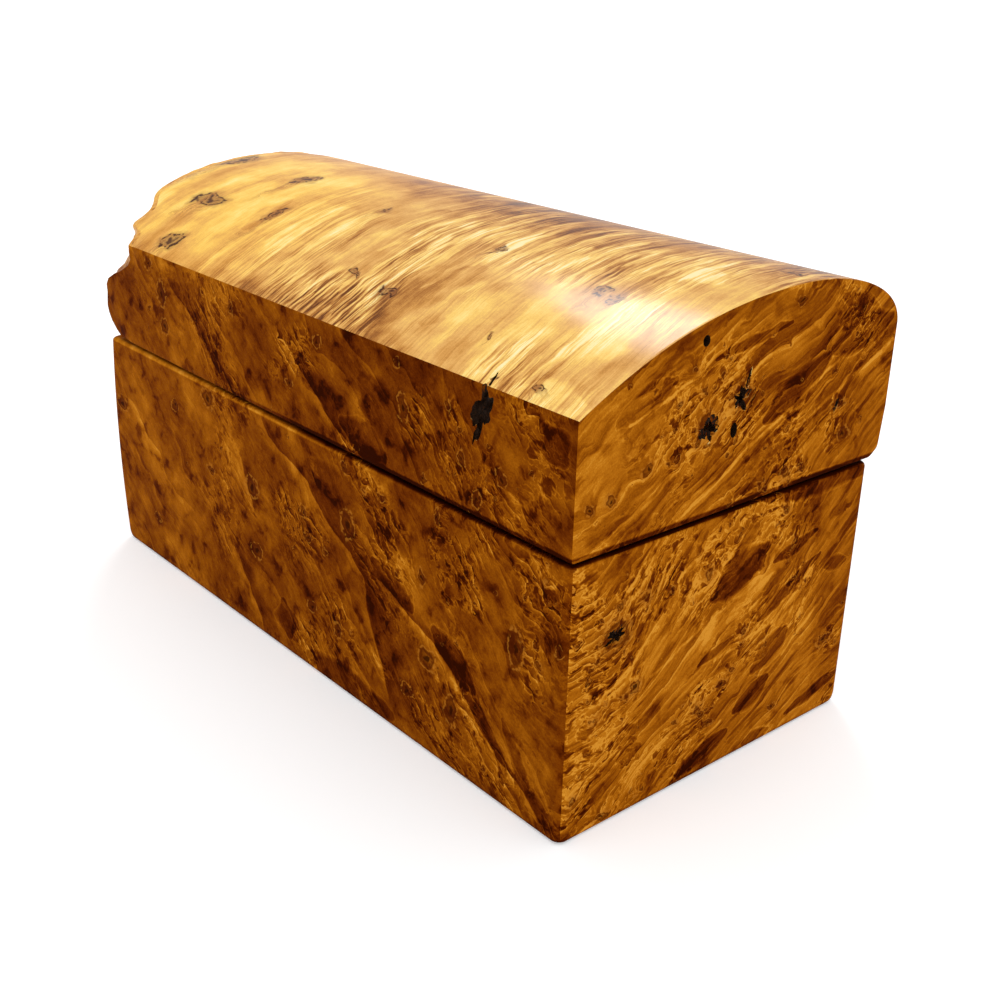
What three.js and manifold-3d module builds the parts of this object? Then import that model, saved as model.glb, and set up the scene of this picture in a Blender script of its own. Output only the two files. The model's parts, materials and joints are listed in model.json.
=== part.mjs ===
// Burl wood jewelry box: a hollowed base, and a hollowed domed lid whose left end keeps the burl's natural edge.
// Two brass butt hinges, suede linings, a sliding tray with ring rolls, and felt underneath.
// Millimetres, +Z up.
// The long front faces -Y, the sawn end faces +X and the natural edge faces -X.
// The origin is the middle of the base's footprint, on the surface that the box stands on.
import * as THREE from "three";
import { mergeVertices } from "three/addons/utils/BufferGeometryUtils.js";
import Module from "manifold-3d";

const wasm = await Module();
wasm.setup();

// Base block
const BASE_LENGTH = 204.5;
const BASE_DEPTH = 97;
const BASE_HEIGHT = 65.8;
const FELT_PROUD = 0.2;
const END_SWELL = 2.2;
const BOTTOM_ROUND = 3;
const ARRIS = 0.5;

// Hollow of the base: a wide pocket for the tray over a deep compartment, with a ledge between them
const WALL = 10;
const NATURAL_END_WALL = 14;
const BASE_FLOOR = 9;
const TRAY_POCKET_DEPTH = 25;
const LEDGE = 4;
const CAVITY_RADIUS = 7;

// Lid block
const SEAM_GAP = 0.9;
const LID_SIDE_HEIGHT = 29.4;
const DOME_RISE = 17.3;
const LID_OVERHANG = 3.8;
const BACK_TUCK = 1;
const BACK_BEVEL = 2;
const NATURAL_OVERHANG = 11.5;
const EDGE_ROLL = 2.6;
const LID_CAVITY_DEPTH = 24;

// Dome, as shares of the lid's depth and of the dome's rise
const CREST_SHARE = 0.654;
const FRONT_RISE_SHARES = [0.2, 0.653];
const FRONT_CREST_SHARE = 0.397;
const BACK_CREST_SHARE = 0.8;
const BACK_FALL_SHARES = [1.0095, 0.717];
const BACK_TOP_SHARE = 0.106;
const BACK_STRAIGHT_SHARE = 0.42;

// Natural edge: reach from the sawn end, as a share of the lid's full length
// The top edge has a share of the depth for each share of the reach
const TOP_EDGE_SHARES = [
  [0, 0.866],
  [0.05, 0.884],
  [0.072, 0.915],
  [0.145, 0.928],
  [0.23, 0.977],
  [0.39, 0.996],
  [0.59, 1],
  [0.77, 0.999],
  [0.87, 0.978],
  [1, 0.94],
];
const LOW_LOBE_FRONT_SHARE = 0.947;
const LOW_LOBE_BACK_SHARE = 0.972;
const LOBE_WIDENS_SHARE = 0.4;
const LOBE_TOP_SHARES = [0.5, 0.86];
const UNDERCUT_SHARE = 0.037;
const UNDERCUT_HEIGHT_SHARE = 0.3;

// Borer holes in the sawn end of the lid
const BORER_RADIUS = 1.4;
const BORER_DEPTH = 5;
const BORER_PLACES = [
  { depthShare: 0.342, heightShare: 0.837 },
  { depthShare: 0.449, heightShare: 0.386 },
];

// Hinges: the axis lies just behind the back of the base, half way up the seam
const HINGE_LENGTH = 25;
const HINGE_SPREAD_SHARE = 0.6;
const HINGE_BEHIND = 0.4;
const KNUCKLE_RADIUS = 1.8;
const KNUCKLE_GAP = 0.2;
const KNUCKLE_ROOM = 0.35;
const PIN_RADIUS = 0.7;
const PIN_CLEARANCE = 0.07;
const LEAF_THICKNESS = 1.3;
const LEAF_SHY = 2.2;
const LEAF_FIT = 0.12;
const TAIL_REACH = 2.9;
const TAIL_THICKNESS = 1.2;
const STOP_GAP = 0.1;
const LID_OPEN_DEGREES = 105;

// Hinge screws, countersunk
const SCREW_HEAD_RADIUS = 1.8;
const SCREW_HEAD_RIM = 0.15;
const SCREW_HEAD_DEPTH = 1.05;
const SCREW_SHANK_RADIUS = 0.9;
const SCREW_LENGTH = 8;
const SCREW_TIP = 1.6;
const SCREW_FIT = 0.1;
const SCREW_SLOT_WIDTH = 0.45;
const SCREW_SLOT_DEPTH = 0.5;
const SCREW_SPREAD_SHARE = 0.56;

// Linings and pads
const LINING_THICKNESS = 1.2;
const LINING_GAP = 0.3;
const BASE_PAD_THICKNESS = 4;
const LID_PAD_THICKNESS = 5;
const LID_LINING_SET_BACK = 1;
const FELT_THICKNESS = 1;
const FELT_GAP = 0.1;
const FELT_MARGIN = 8;
const FELT_CORNER = 6;

// Roundness of the pads and rolls, from 0, square, to 1, round: in plan, over the crown and under the seat
const PAD_PLAN_SHARE = 0.2;
const PAD_CROWN_SHARE = 0.6;
const PAD_SEAT_SHARE = 0.3;
const ROLL_PLAN_SHARE = 0.35;
const ROLL_CROWN_SHARE = 1;
const ROLL_SEAT_SHARE = 0.45;

// Bumpers on the front rim
const BUMPER_RADIUS = 3;
const BUMPER_CLEARANCE = 0.3;

// Tray
const TRAY_CLEARANCE = 0.5;
const TRAY_HEIGHT = 22;
const TRAY_LIFT = 0.3;
const TRAY_WALL = 3.2;
const TRAY_FLOOR = 2.8;
const TRAY_INNER_RADIUS = 2.2;
const SMALL_BAY_LENGTH = 30;
const DIVIDER_THICKNESS = 2.2;
const DIVIDER_BELOW_RIM = 3;
const DIVIDER_FIT = 0.15;
const THUMB_NOTCH_RADIUS = 9;
const THUMB_NOTCH_DEPTH = 6;
const TRAY_PAD_THICKNESS = 3;

// Ring rolls
const RING_ROLL_COUNT = 4;
const RING_ROLL_WIDTH = 11;
const RING_ROLL_HEIGHT = 13;
const RING_ROLL_GAP = 0.6;
const SOFT_GAP = 0.4;

// Overrun of every cutter past the face that it opens
const OVERRUN = 2;

// Facets
const CORNER_STEPS = 6;
const ROUND_STEPS = 32;
const SCREW_STEPS = 20;
const HOLE_STEPS = 24;
const FRONT_STEPS = 12;
const DOME_STEPS = 16;
const BOTTOM_STEPS = 8;
const ROLL_STEPS = 3;
const LENGTH_SHARES = [0, 0.3, 0.6, 0.8, 0.92, 1];
const CAP_SHARES = [0.85, 0.65, 0.42, 0.2];
const PAD_ROUND_STEPS = 40;
const PAD_RISE_STEPS = 5;

// Places worked out from the sizes
const RIGHT = BASE_LENGTH / 2;
const LEFT = -RIGHT;
const FRONT = -BASE_DEPTH / 2;
const BACK = BASE_DEPTH / 2;
const BASE_BOTTOM = FELT_PROUD;
const LID_BOTTOM = BASE_HEIGHT + SEAM_GAP;
const LID_SHOULDER = LID_BOTTOM + LID_SIDE_HEIGHT;
const LID_CREST = LID_SHOULDER + DOME_RISE;
const LID_DEPTH = BASE_DEPTH + LID_OVERHANG;
const LID_BACK = FRONT + LID_DEPTH;
const LID_LENGTH = BASE_LENGTH + NATURAL_OVERHANG;
const CAVITY_LEFT = LEFT + NATURAL_END_WALL;
const CAVITY_RIGHT = RIGHT - WALL;
const CAVITY_LENGTH = CAVITY_RIGHT - CAVITY_LEFT;
const CAVITY_MIDDLE = (CAVITY_RIGHT + CAVITY_LEFT) / 2;
const CAVITY_DEPTH = BASE_DEPTH - 2 * WALL;
const LEDGE_HEIGHT = BASE_HEIGHT - TRAY_POCKET_DEPTH;
const FLOOR_HEIGHT = BASE_BOTTOM + BASE_FLOOR;
const WELL_LENGTH = CAVITY_LENGTH - 2 * LEDGE;
const WELL_DEPTH = CAVITY_DEPTH - 2 * LEDGE;
const LID_CEILING = LID_BOTTOM + LID_CAVITY_DEPTH;
const AXIS_Y = BACK + HINGE_BEHIND;
const AXIS_Z = BASE_HEIGHT + SEAM_GAP / 2;
const LEAF_REACH = WALL + HINGE_BEHIND - LEAF_SHY;
const KNUCKLE_LENGTH = (HINGE_LENGTH - 2 * KNUCKLE_GAP) / 3;

const wood = new THREE.MeshStandardMaterial({ color: 0x9a5a10, roughness: 0.3, metalness: 0 });
const lidWood = new THREE.MeshStandardMaterial({ color: 0xc98a32, roughness: 0.28, metalness: 0 });
const trayWood = new THREE.MeshStandardMaterial({ color: 0x8a5a2c, roughness: 0.45, metalness: 0 });
const brass = new THREE.MeshStandardMaterial({ color: 0xb8923e, roughness: 0.3, metalness: 1 });
const suede = new THREE.MeshStandardMaterial({ color: 0x2c1a14, roughness: 0.95, metalness: 0 });
const felt = new THREE.MeshStandardMaterial({ color: 0x24301f, roughness: 1, metalness: 0 });
const leather = new THREE.MeshStandardMaterial({ color: 0x5a3418, roughness: 0.7, metalness: 0 });

const box = new THREE.Group();

// Solids and meshes

function solidOf(geometry) {
  const bare = geometry.clone();
  bare.deleteAttribute("normal");
  bare.deleteAttribute("uv");
  const merged = mergeVertices(bare);
  const vertProperties = new Float32Array(merged.attributes.position.array);
  const triVerts = new Uint32Array(merged.index.array);
  return new wasm.Manifold(new wasm.Mesh({ numProp: 3, vertProperties, triVerts }));
}

function geometryOf(solid) {
  const mesh = solid.getMesh();
  const geometry = new THREE.BufferGeometry();
  geometry.setAttribute("position", new THREE.BufferAttribute(new Float32Array(mesh.vertProperties), 3));
  geometry.setIndex(new THREE.BufferAttribute(new Uint32Array(mesh.triVerts), 1));
  geometry.computeVertexNormals();
  return geometry;
}

function addPiece(name, shape, material) {
  const geometry = shape.isBufferGeometry ? shape : geometryOf(shape);
  const mesh = new THREE.Mesh(geometry, material);
  mesh.name = name;
  box.add(mesh);
  return mesh;
}

// Outlines

function roundedRectangle(length, depth, radius, middleX = 0) {
  const x = length / 2;
  const y = depth / 2;
  const r = radius;
  const shape = new THREE.Shape();
  shape.moveTo(middleX - x + r, -y);
  shape.lineTo(middleX + x - r, -y);
  shape.absarc(middleX + x - r, -y + r, r, -Math.PI / 2, 0);
  shape.lineTo(middleX + x, y - r);
  shape.absarc(middleX + x - r, y - r, r, 0, Math.PI / 2);
  shape.lineTo(middleX - x + r, y);
  shape.absarc(middleX - x + r, y - r, r, Math.PI / 2, Math.PI);
  shape.lineTo(middleX - x, -y + r);
  shape.absarc(middleX - x + r, -y + r, r, Math.PI, 1.5 * Math.PI);
  return shape;
}

// Prisms

function prismUp(shape, bottom, top, steps = CORNER_STEPS) {
  const options = { depth: top - bottom, bevelEnabled: false, curveSegments: steps };
  const geometry = new THREE.ExtrudeGeometry(shape, options);
  return geometry.translate(0, 0, bottom);
}

// The shape is drawn in Y and Z
function prismAlongX(shape, from, to, steps = CORNER_STEPS) {
  const options = { depth: to - from, bevelEnabled: false, curveSegments: steps };
  const geometry = new THREE.ExtrudeGeometry(shape, options);
  const turn = new THREE.Matrix4().makeBasis(
    new THREE.Vector3(0, 1, 0),
    new THREE.Vector3(0, 0, 1),
    new THREE.Vector3(1, 0, 0),
  );
  return geometry.applyMatrix4(turn).translate(from, 0, 0);
}

// The shape is drawn in X and Z
function prismAlongY(shape, from, to, steps = CORNER_STEPS) {
  const options = { depth: to - from, bevelEnabled: false, curveSegments: steps };
  const geometry = new THREE.ExtrudeGeometry(shape, options);
  return geometry.rotateX(Math.PI / 2).translate(0, to, 0);
}

function block(low, high) {
  const size = new THREE.Vector3().subVectors(high, low);
  const middle = new THREE.Vector3().addVectors(high, low).multiplyScalar(0.5);
  return new THREE.BoxGeometry(size.x, size.y, size.z).translate(middle.x, middle.y, middle.z);
}

function rodAlongX(radius, from, to, y, z, steps = ROUND_STEPS) {
  const rod = new THREE.CylinderGeometry(radius, radius, to - from, steps);
  return rod.rotateZ(Math.PI / 2).translate((from + to) / 2, y, z);
}

// Hinge leaves, pins and screws

const hingeMiddles = {
  left: CAVITY_MIDDLE - (CAVITY_LENGTH * HINGE_SPREAD_SHARE) / 2,
  right: CAVITY_MIDDLE + (CAVITY_LENGTH * HINGE_SPREAD_SHARE) / 2,
};

function middleKnuckleSpan(middle, room) {
  return [middle - KNUCKLE_LENGTH / 2 - room, middle + KNUCKLE_LENGTH / 2 + room];
}

function screwProfile(fit) {
  return [
    new THREE.Vector2(0, fit),
    new THREE.Vector2(SCREW_HEAD_RADIUS + fit, fit),
    new THREE.Vector2(SCREW_HEAD_RADIUS + fit, -SCREW_HEAD_RIM - fit),
    new THREE.Vector2(SCREW_SHANK_RADIUS + fit, -SCREW_HEAD_DEPTH - fit),
    new THREE.Vector2(SCREW_SHANK_RADIUS + fit, -SCREW_LENGTH + SCREW_TIP),
    new THREE.Vector2(0, -SCREW_LENGTH - fit),
  ];
}

// A lathe's profile is drawn upwards from the tip, and turned to stand along Z
function screwForm(fit) {
  const profile = screwProfile(fit).reverse();
  return new THREE.LatheGeometry(profile, SCREW_STEPS).rotateX(Math.PI / 2);
}

const screwPlaces = [];
for (const [side, middle] of Object.entries(hingeMiddles)) {
  for (const [half, direction] of Object.entries({ inner: -1, outer: 1 })) {
    const outward = side === "left" ? -direction : direction;
    const x = middle + (outward * HINGE_LENGTH * SCREW_SPREAD_SHARE) / 2;
    const y = AXIS_Y - KNUCKLE_RADIUS - (LEAF_REACH - KNUCKLE_RADIUS) / 2;
    screwPlaces.push({ name: `screw_${side}_base_${half}`, side, x, y, z: BASE_HEIGHT, up: false });
    screwPlaces.push({ name: `screw_${side}_lid_${half}`, side, x, y, z: LID_BOTTOM, up: true });
  }
}

function placedScrew(place, fit) {
  const form = screwForm(fit);
  if (place.up) {
    form.rotateX(Math.PI);
  }
  return form.translate(place.x, place.y, place.z);
}

function screwSlot(place) {
  const inward = place.up ? 1 : -1;
  const reach = SCREW_HEAD_RADIUS + SCREW_FIT;
  const deep = place.z + inward * SCREW_SLOT_DEPTH;
  const out = place.z - inward * SCREW_SLOT_DEPTH;
  return block(
    new THREE.Vector3(place.x - reach, place.y - SCREW_SLOT_WIDTH / 2, Math.min(deep, out)),
    new THREE.Vector3(place.x + reach, place.y + SCREW_SLOT_WIDTH / 2, Math.max(deep, out)),
  );
}

// The tail is drawn as it lies on the back of the base with the lid open, and turned back to the closed lid
function tailForm(middle) {
  const [from, to] = middleKnuckleSpan(middle, 0);
  const front = -HINGE_BEHIND + STOP_GAP;
  const tail = block(
    new THREE.Vector3(from, front, -TAIL_REACH),
    new THREE.Vector3(to, front + TAIL_THICKNESS, -PIN_RADIUS),
  );
  return tail.rotateX(THREE.MathUtils.degToRad(LID_OPEN_DEGREES)).translate(0, AXIS_Y, AXIS_Z);
}

function hingeLeaf(side, middle, isLid) {
  const from = middle - HINGE_LENGTH / 2;
  const to = middle + HINGE_LENGTH / 2;
  const low = isLid ? LID_BOTTOM : BASE_HEIGHT - LEAF_THICKNESS;
  const slab = block(
    new THREE.Vector3(from, AXIS_Y - LEAF_REACH, low),
    new THREE.Vector3(to, AXIS_Y, low + LEAF_THICKNESS),
  );
  const [knuckleFrom, knuckleTo] = middleKnuckleSpan(middle, 0);
  const [roomFrom, roomTo] = middleKnuckleSpan(middle, KNUCKLE_GAP);
  const ownSpans = isLid ? [[knuckleFrom, knuckleTo]] : [[from, roomFrom], [roomTo, to]];
  const roomSpans = isLid
    ? [[from - OVERRUN, knuckleFrom], [knuckleTo, to + OVERRUN]]
    : [[roomFrom, roomTo]];
  let leaf = solidOf(slab);
  for (const [a, b] of roomSpans) {
    leaf = leaf.subtract(solidOf(rodAlongX(KNUCKLE_RADIUS + KNUCKLE_GAP, a, b, AXIS_Y, AXIS_Z)));
  }
  for (const [a, b] of ownSpans) {
    leaf = leaf.add(solidOf(rodAlongX(KNUCKLE_RADIUS, a, b, AXIS_Y, AXIS_Z)));
  }
  if (isLid) {
    leaf = leaf.add(solidOf(tailForm(middle)));
  }
  const bore = PIN_RADIUS + PIN_CLEARANCE;
  leaf = leaf.subtract(solidOf(rodAlongX(bore, from - OVERRUN, to + OVERRUN, AXIS_Y, AXIS_Z)));
  for (const place of screwPlaces.filter((screw) => screw.side === side && screw.up === isLid)) {
    leaf = leaf.subtract(solidOf(placedScrew(place, SCREW_FIT)));
  }
  return leaf;
}

// What the hinges and their screws cut out of a block
function cutForHinges(wooden, isLid) {
  let cut = wooden;
  for (const middle of Object.values(hingeMiddles)) {
    const from = middle - HINGE_LENGTH / 2 - LEAF_FIT;
    const to = middle + HINGE_LENGTH / 2 + LEAF_FIT;
    const bottom = isLid ? LID_BOTTOM - OVERRUN : BASE_HEIGHT - LEAF_THICKNESS - LEAF_FIT;
    const top = isLid ? LID_BOTTOM + LEAF_THICKNESS + LEAF_FIT : BASE_HEIGHT + OVERRUN;
    const mortise = block(
      new THREE.Vector3(from, AXIS_Y - LEAF_REACH - LEAF_FIT, bottom),
      new THREE.Vector3(to, AXIS_Y, top),
    );
    cut = cut.subtract(solidOf(mortise));
    cut = cut.subtract(solidOf(rodAlongX(KNUCKLE_RADIUS + KNUCKLE_ROOM, from, to, AXIS_Y, AXIS_Z)));
  }
  for (const place of screwPlaces.filter((screw) => screw.up === isLid)) {
    cut = cut.subtract(solidOf(placedScrew(place, SCREW_FIT)));
  }
  return cut;
}

// Base block: the outlines seen from above, from the front and from the end, cut to one another

function baseFrontOutline() {
  const swollen = LEFT;
  const square = LEFT + END_SWELL;
  const waist = (BASE_BOTTOM + BASE_HEIGHT) / 2;
  const shape = new THREE.Shape();
  shape.moveTo(square + BOTTOM_ROUND, BASE_BOTTOM);
  shape.lineTo(RIGHT + OVERRUN, BASE_BOTTOM);
  shape.lineTo(RIGHT + OVERRUN, BASE_HEIGHT);
  shape.lineTo(square, BASE_HEIGHT);
  shape.quadraticCurveTo(swollen - END_SWELL, waist, square, BASE_BOTTOM + BOTTOM_ROUND);
  shape.quadraticCurveTo(square, BASE_BOTTOM, square + BOTTOM_ROUND, BASE_BOTTOM);
  return shape;
}

function baseEndOutline() {
  const shape = new THREE.Shape();
  shape.moveTo(FRONT - OVERRUN, BASE_BOTTOM);
  shape.lineTo(BACK - BOTTOM_ROUND, BASE_BOTTOM);
  shape.quadraticCurveTo(BACK, BASE_BOTTOM, BACK, BASE_BOTTOM + BOTTOM_ROUND);
  shape.lineTo(BACK, BASE_HEIGHT);
  shape.lineTo(FRONT - OVERRUN, BASE_HEIGHT);
  shape.closePath();
  return shape;
}

function basePlan() {
  const options = {
    depth: BASE_HEIGHT - BASE_BOTTOM - 2 * ARRIS,
    bevelEnabled: true,
    bevelThickness: ARRIS,
    bevelSize: ARRIS,
    bevelOffset: -ARRIS,
    bevelSegments: 1,
    curveSegments: 2,
  };
  const outline = roundedRectangle(BASE_LENGTH, BASE_DEPTH, 2 * ARRIS);
  return new THREE.ExtrudeGeometry(outline, options).translate(0, 0, BASE_BOTTOM + ARRIS);
}

function makeBase() {
  const fromFront = prismAlongY(baseFrontOutline(), FRONT - OVERRUN, BACK + OVERRUN, ROUND_STEPS / 2);
  const fromEnd = prismAlongX(baseEndOutline(), LEFT - OVERRUN, RIGHT + OVERRUN);
  const pocket = roundedRectangle(CAVITY_LENGTH, CAVITY_DEPTH, CAVITY_RADIUS, CAVITY_MIDDLE);
  const well = roundedRectangle(WELL_LENGTH, WELL_DEPTH, CAVITY_RADIUS, CAVITY_MIDDLE);
  const feltRecess = roundedRectangle(
    BASE_LENGTH - 2 * FELT_MARGIN + 2 * FELT_GAP,
    BASE_DEPTH - 2 * FELT_MARGIN + 2 * FELT_GAP,
    FELT_CORNER + FELT_GAP,
  );
  let base = solidOf(basePlan()).intersect(solidOf(fromFront)).intersect(solidOf(fromEnd));
  base = base.subtract(solidOf(prismUp(pocket, LEDGE_HEIGHT, BASE_HEIGHT + OVERRUN)));
  base = base.subtract(solidOf(prismUp(well, FLOOR_HEIGHT, BASE_HEIGHT + OVERRUN)));
  base = base.subtract(solidOf(prismUp(feltRecess, BASE_BOTTOM - OVERRUN, FELT_THICKNESS + FELT_GAP)));
  return cutForHinges(base, false);
}

// Lid block: a section across the lid, carried from the sawn end to the natural edge

function lidSection() {
  const path = new THREE.Path();
  const height = (share) => LID_SHOULDER + share * DOME_RISE;
  const depth = (share) => FRONT + share * LID_DEPTH;
  path.moveTo(FRONT + ARRIS, LID_BOTTOM);
  const sideBottom = LID_BOTTOM + ARRIS;
  for (let step = 0; step <= FRONT_STEPS; step += 1) {
    path.lineTo(FRONT, sideBottom + ((LID_SHOULDER - sideBottom) * step) / FRONT_STEPS);
  }
  const [riseDepthShare, riseHeightShare] = FRONT_RISE_SHARES;
  const [fallDepthShare, fallHeightShare] = BACK_FALL_SHARES;
  path.bezierCurveTo(
    depth(riseDepthShare), height(riseHeightShare),
    depth(FRONT_CREST_SHARE), LID_CREST,
    depth(CREST_SHARE), LID_CREST,
  );
  path.bezierCurveTo(
    depth(BACK_CREST_SHARE), LID_CREST,
    depth(fallDepthShare), height(fallHeightShare),
    LID_BACK, height(BACK_TOP_SHARE),
  );
  const backStraightEnd = LID_BOTTOM + BACK_STRAIGHT_SHARE * LID_SIDE_HEIGHT;
  path.lineTo(LID_BACK, backStraightEnd);
  path.lineTo(LID_BACK - BACK_TUCK, LID_BOTTOM + BACK_BEVEL);
  path.lineTo(BACK, LID_BOTTOM);
  for (let step = 1; step < BOTTOM_STEPS; step += 1) {
    path.lineTo(BACK + ((FRONT + ARRIS - BACK) * step) / BOTTOM_STEPS, LID_BOTTOM);
  }
  return path.getPoints(DOME_STEPS).filter((point, i, all) => i === 0 || !point.equals(all[i - 1]));
}

function smoothStep(low, high, value) {
  return THREE.MathUtils.smoothstep(value, low, high);
}

const topEdgePlaces = TOP_EDGE_SHARES.map(([depth, reach]) => new THREE.Vector2(depth, reach));
const topEdge = new THREE.SplineCurve(topEdgePlaces);
const topEdgePoints = topEdge.getPoints(TOP_EDGE_SHARES.length * DOME_STEPS);

// Height that a rising run of points has at a place along it
function readAlong(points, place) {
  let last = points[0];
  for (const point of points) {
    if (point.x >= place) {
      const span = point.x - last.x;
      return span > 0 ? last.y + ((point.y - last.y) * (place - last.x)) / span : point.y;
    }
    last = point;
  }
  return last.y;
}

const section = lidSection();
const crown = section.filter((point) => point.y >= LID_SHOULDER);

// Where the natural edge lies, for a place in the section
function naturalEdge(y, z) {
  const across = THREE.MathUtils.clamp((y - FRONT) / LID_DEPTH, 0, 1);
  const top = readAlong(crown, y);
  const up = THREE.MathUtils.clamp((z - LID_BOTTOM) / (top - LID_BOTTOM), 0, 1);
  const widening = smoothStep(0, LOBE_WIDENS_SHARE, across);
  const lobe = THREE.MathUtils.lerp(LOW_LOBE_FRONT_SHARE, LOW_LOBE_BACK_SHARE, widening);
  const [lobeEnds, topBegins] = LOBE_TOP_SHARES;
  const topReach = readAlong(topEdgePoints, across);
  const reach = THREE.MathUtils.lerp(lobe, topReach, smoothStep(lobeEnds, topBegins, up));
  const tucked = Math.max(0, 1 - up / UNDERCUT_HEIGHT_SHARE);
  return RIGHT - LID_LENGTH * (reach - UNDERCUT_SHARE * tucked * tucked);
}

function inwardNormals(points) {
  return points.map((point, i) => {
    const before = points[(i + points.length - 1) % points.length];
    const after = points[(i + 1) % points.length];
    const along = new THREE.Vector2().subVectors(after, before).normalize();
    return new THREE.Vector2(along.y, -along.x);
  });
}

function lidForm() {
  const normals = inwardNormals(section);
  const middle = new THREE.Vector2((FRONT + LID_BACK) / 2, LID_BOTTOM + LID_SIDE_HEIGHT / 2);
  const rings = [];
  for (const share of LENGTH_SHARES) {
    rings.push(section.map((p) => {
      const x = THREE.MathUtils.lerp(RIGHT, naturalEdge(p.x, p.y) + EDGE_ROLL, share);
      return new THREE.Vector3(x, p.x, p.y);
    }));
  }
  const rolled = (angle) => section.map((p, i) => {
    const inset = EDGE_ROLL * (1 - Math.cos(angle));
    const y = p.x + normals[i].x * inset;
    const z = p.y + normals[i].y * inset;
    return new THREE.Vector3(naturalEdge(p.x, p.y) + EDGE_ROLL * (1 - Math.sin(angle)), y, z);
  });
  for (let step = 1; step <= ROLL_STEPS; step += 1) {
    rings.push(rolled(((Math.PI / 2) * step) / ROLL_STEPS));
  }
  const edge = rings[rings.length - 1];
  for (const share of CAP_SHARES) {
    rings.push(edge.map((p) => {
      const y = THREE.MathUtils.lerp(middle.x, p.y, share);
      const z = THREE.MathUtils.lerp(middle.y, p.z, share);
      return new THREE.Vector3(naturalEdge(y, z), y, z);
    }));
  }
  return closedRings(
    rings,
    new THREE.Vector3(RIGHT, middle.x, middle.y),
    new THREE.Vector3(naturalEdge(middle.x, middle.y), middle.x, middle.y),
  );
}

// A closed skin over rings of equal count, with one point at each end
function closedRings(rings, first, last) {
  const count = rings[0].length;
  const positions = [first.x, first.y, first.z];
  for (const ring of rings) {
    for (const p of ring) {
      positions.push(p.x, p.y, p.z);
    }
  }
  positions.push(last.x, last.y, last.z);
  const index = [];
  const at = (ring, i) => 1 + ring * count + (i % count);
  const end = 1 + rings.length * count;
  for (let i = 0; i < count; i += 1) {
    index.push(0, at(0, i + 1), at(0, i));
    for (let ring = 0; ring < rings.length - 1; ring += 1) {
      index.push(at(ring, i), at(ring, i + 1), at(ring + 1, i + 1));
      index.push(at(ring, i), at(ring + 1, i + 1), at(ring + 1, i));
    }
    index.push(at(rings.length - 1, i), at(rings.length - 1, i + 1), end);
  }
  const geometry = new THREE.BufferGeometry();
  geometry.setAttribute("position", new THREE.Float32BufferAttribute(positions, 3));
  geometry.setIndex(index);
  geometry.computeVertexNormals();
  return geometry;
}

function makeLid() {
  const hollow = roundedRectangle(CAVITY_LENGTH, CAVITY_DEPTH, CAVITY_RADIUS, CAVITY_MIDDLE);
  let lid = solidOf(lidForm());
  lid = lid.subtract(solidOf(prismUp(hollow, LID_BOTTOM - OVERRUN, LID_CEILING)));
  for (const place of BORER_PLACES) {
    const y = FRONT + place.depthShare * LID_DEPTH;
    const z = LID_BOTTOM + place.heightShare * (LID_CREST - LID_BOTTOM);
    const from = RIGHT - BORER_DEPTH;
    lid = lid.subtract(solidOf(rodAlongX(BORER_RADIUS, from, RIGHT + OVERRUN, y, z, HOLE_STEPS)));
  }
  return cutForHinges(lid, true);
}

// Linings: a band of suede on card round the walls of a hollow
function wallLining(length, depth, radius, bottom, top) {
  const gap = LINING_GAP;
  const outside = roundedRectangle(length - 2 * gap, depth - 2 * gap, radius - gap, CAVITY_MIDDLE);
  const inset = 2 * (gap + LINING_THICKNESS);
  const inside = roundedRectangle(length - inset, depth - inset, radius - inset / 2, CAVITY_MIDDLE);
  const solid = solidOf(prismUp(outside, bottom, top));
  return solid.subtract(solidOf(prismUp(inside, bottom - OVERRUN, top + OVERRUN)));
}

function signedPower(value, power) {
  return Math.sign(value) * Math.abs(value) ** power;
}

// A cushion: squarish from above with sides drawn in between the corners, flat below and crowned above
function cushion(length, depth, thickness, planShare, crownShare, seatShare) {
  const rings = [];
  for (let step = 1; step < 2 * PAD_RISE_STEPS; step += 1) {
    const rise = -Math.PI / 2 + (Math.PI * step) / (2 * PAD_RISE_STEPS);
    const sideShare = rise < 0 ? seatShare : crownShare;
    const height = signedPower(Math.sin(rise), sideShare);
    const spread = Math.cos(rise) ** sideShare;
    const ring = [];
    for (let turn = 0; turn < PAD_ROUND_STEPS; turn += 1) {
      const angle = (2 * Math.PI * turn) / PAD_ROUND_STEPS;
      const x = (length / 2) * spread * signedPower(Math.cos(angle), planShare);
      const y = (depth / 2) * spread * signedPower(Math.sin(angle), planShare);
      ring.push(new THREE.Vector3(x, y, (thickness / 2) * (1 + height)));
    }
    rings.push(ring);
  }
  return closedRings(rings, new THREE.Vector3(0, 0, 0), new THREE.Vector3(0, 0, thickness));
}

// Tray, in its own place at the natural end of the pocket

const ROLL_PITCH = RING_ROLL_WIDTH + RING_ROLL_GAP;
const RING_BAY_LENGTH = RING_ROLL_COUNT * ROLL_PITCH - RING_ROLL_GAP + 2 * SOFT_GAP;
const DIVIDER_SPACE = DIVIDER_THICKNESS + 2 * DIVIDER_FIT;
const TRAY_LENGTH = 2 * TRAY_WALL + RING_BAY_LENGTH + DIVIDER_SPACE + SMALL_BAY_LENGTH;
const TRAY_DEPTH = CAVITY_DEPTH - 2 * TRAY_CLEARANCE;
const TRAY_LEFT = CAVITY_LEFT + TRAY_CLEARANCE;
const TRAY_MIDDLE = TRAY_LEFT + TRAY_LENGTH / 2;
const TRAY_BOTTOM = LEDGE_HEIGHT + TRAY_LIFT;
const TRAY_TOP = TRAY_BOTTOM + TRAY_HEIGHT;
const BAY_DEPTH = TRAY_DEPTH - 2 * TRAY_WALL;
const BAY_FLOOR = TRAY_BOTTOM + TRAY_FLOOR;
const DIVIDER_LEFT = TRAY_LEFT + TRAY_WALL + RING_BAY_LENGTH + DIVIDER_FIT;
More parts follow.
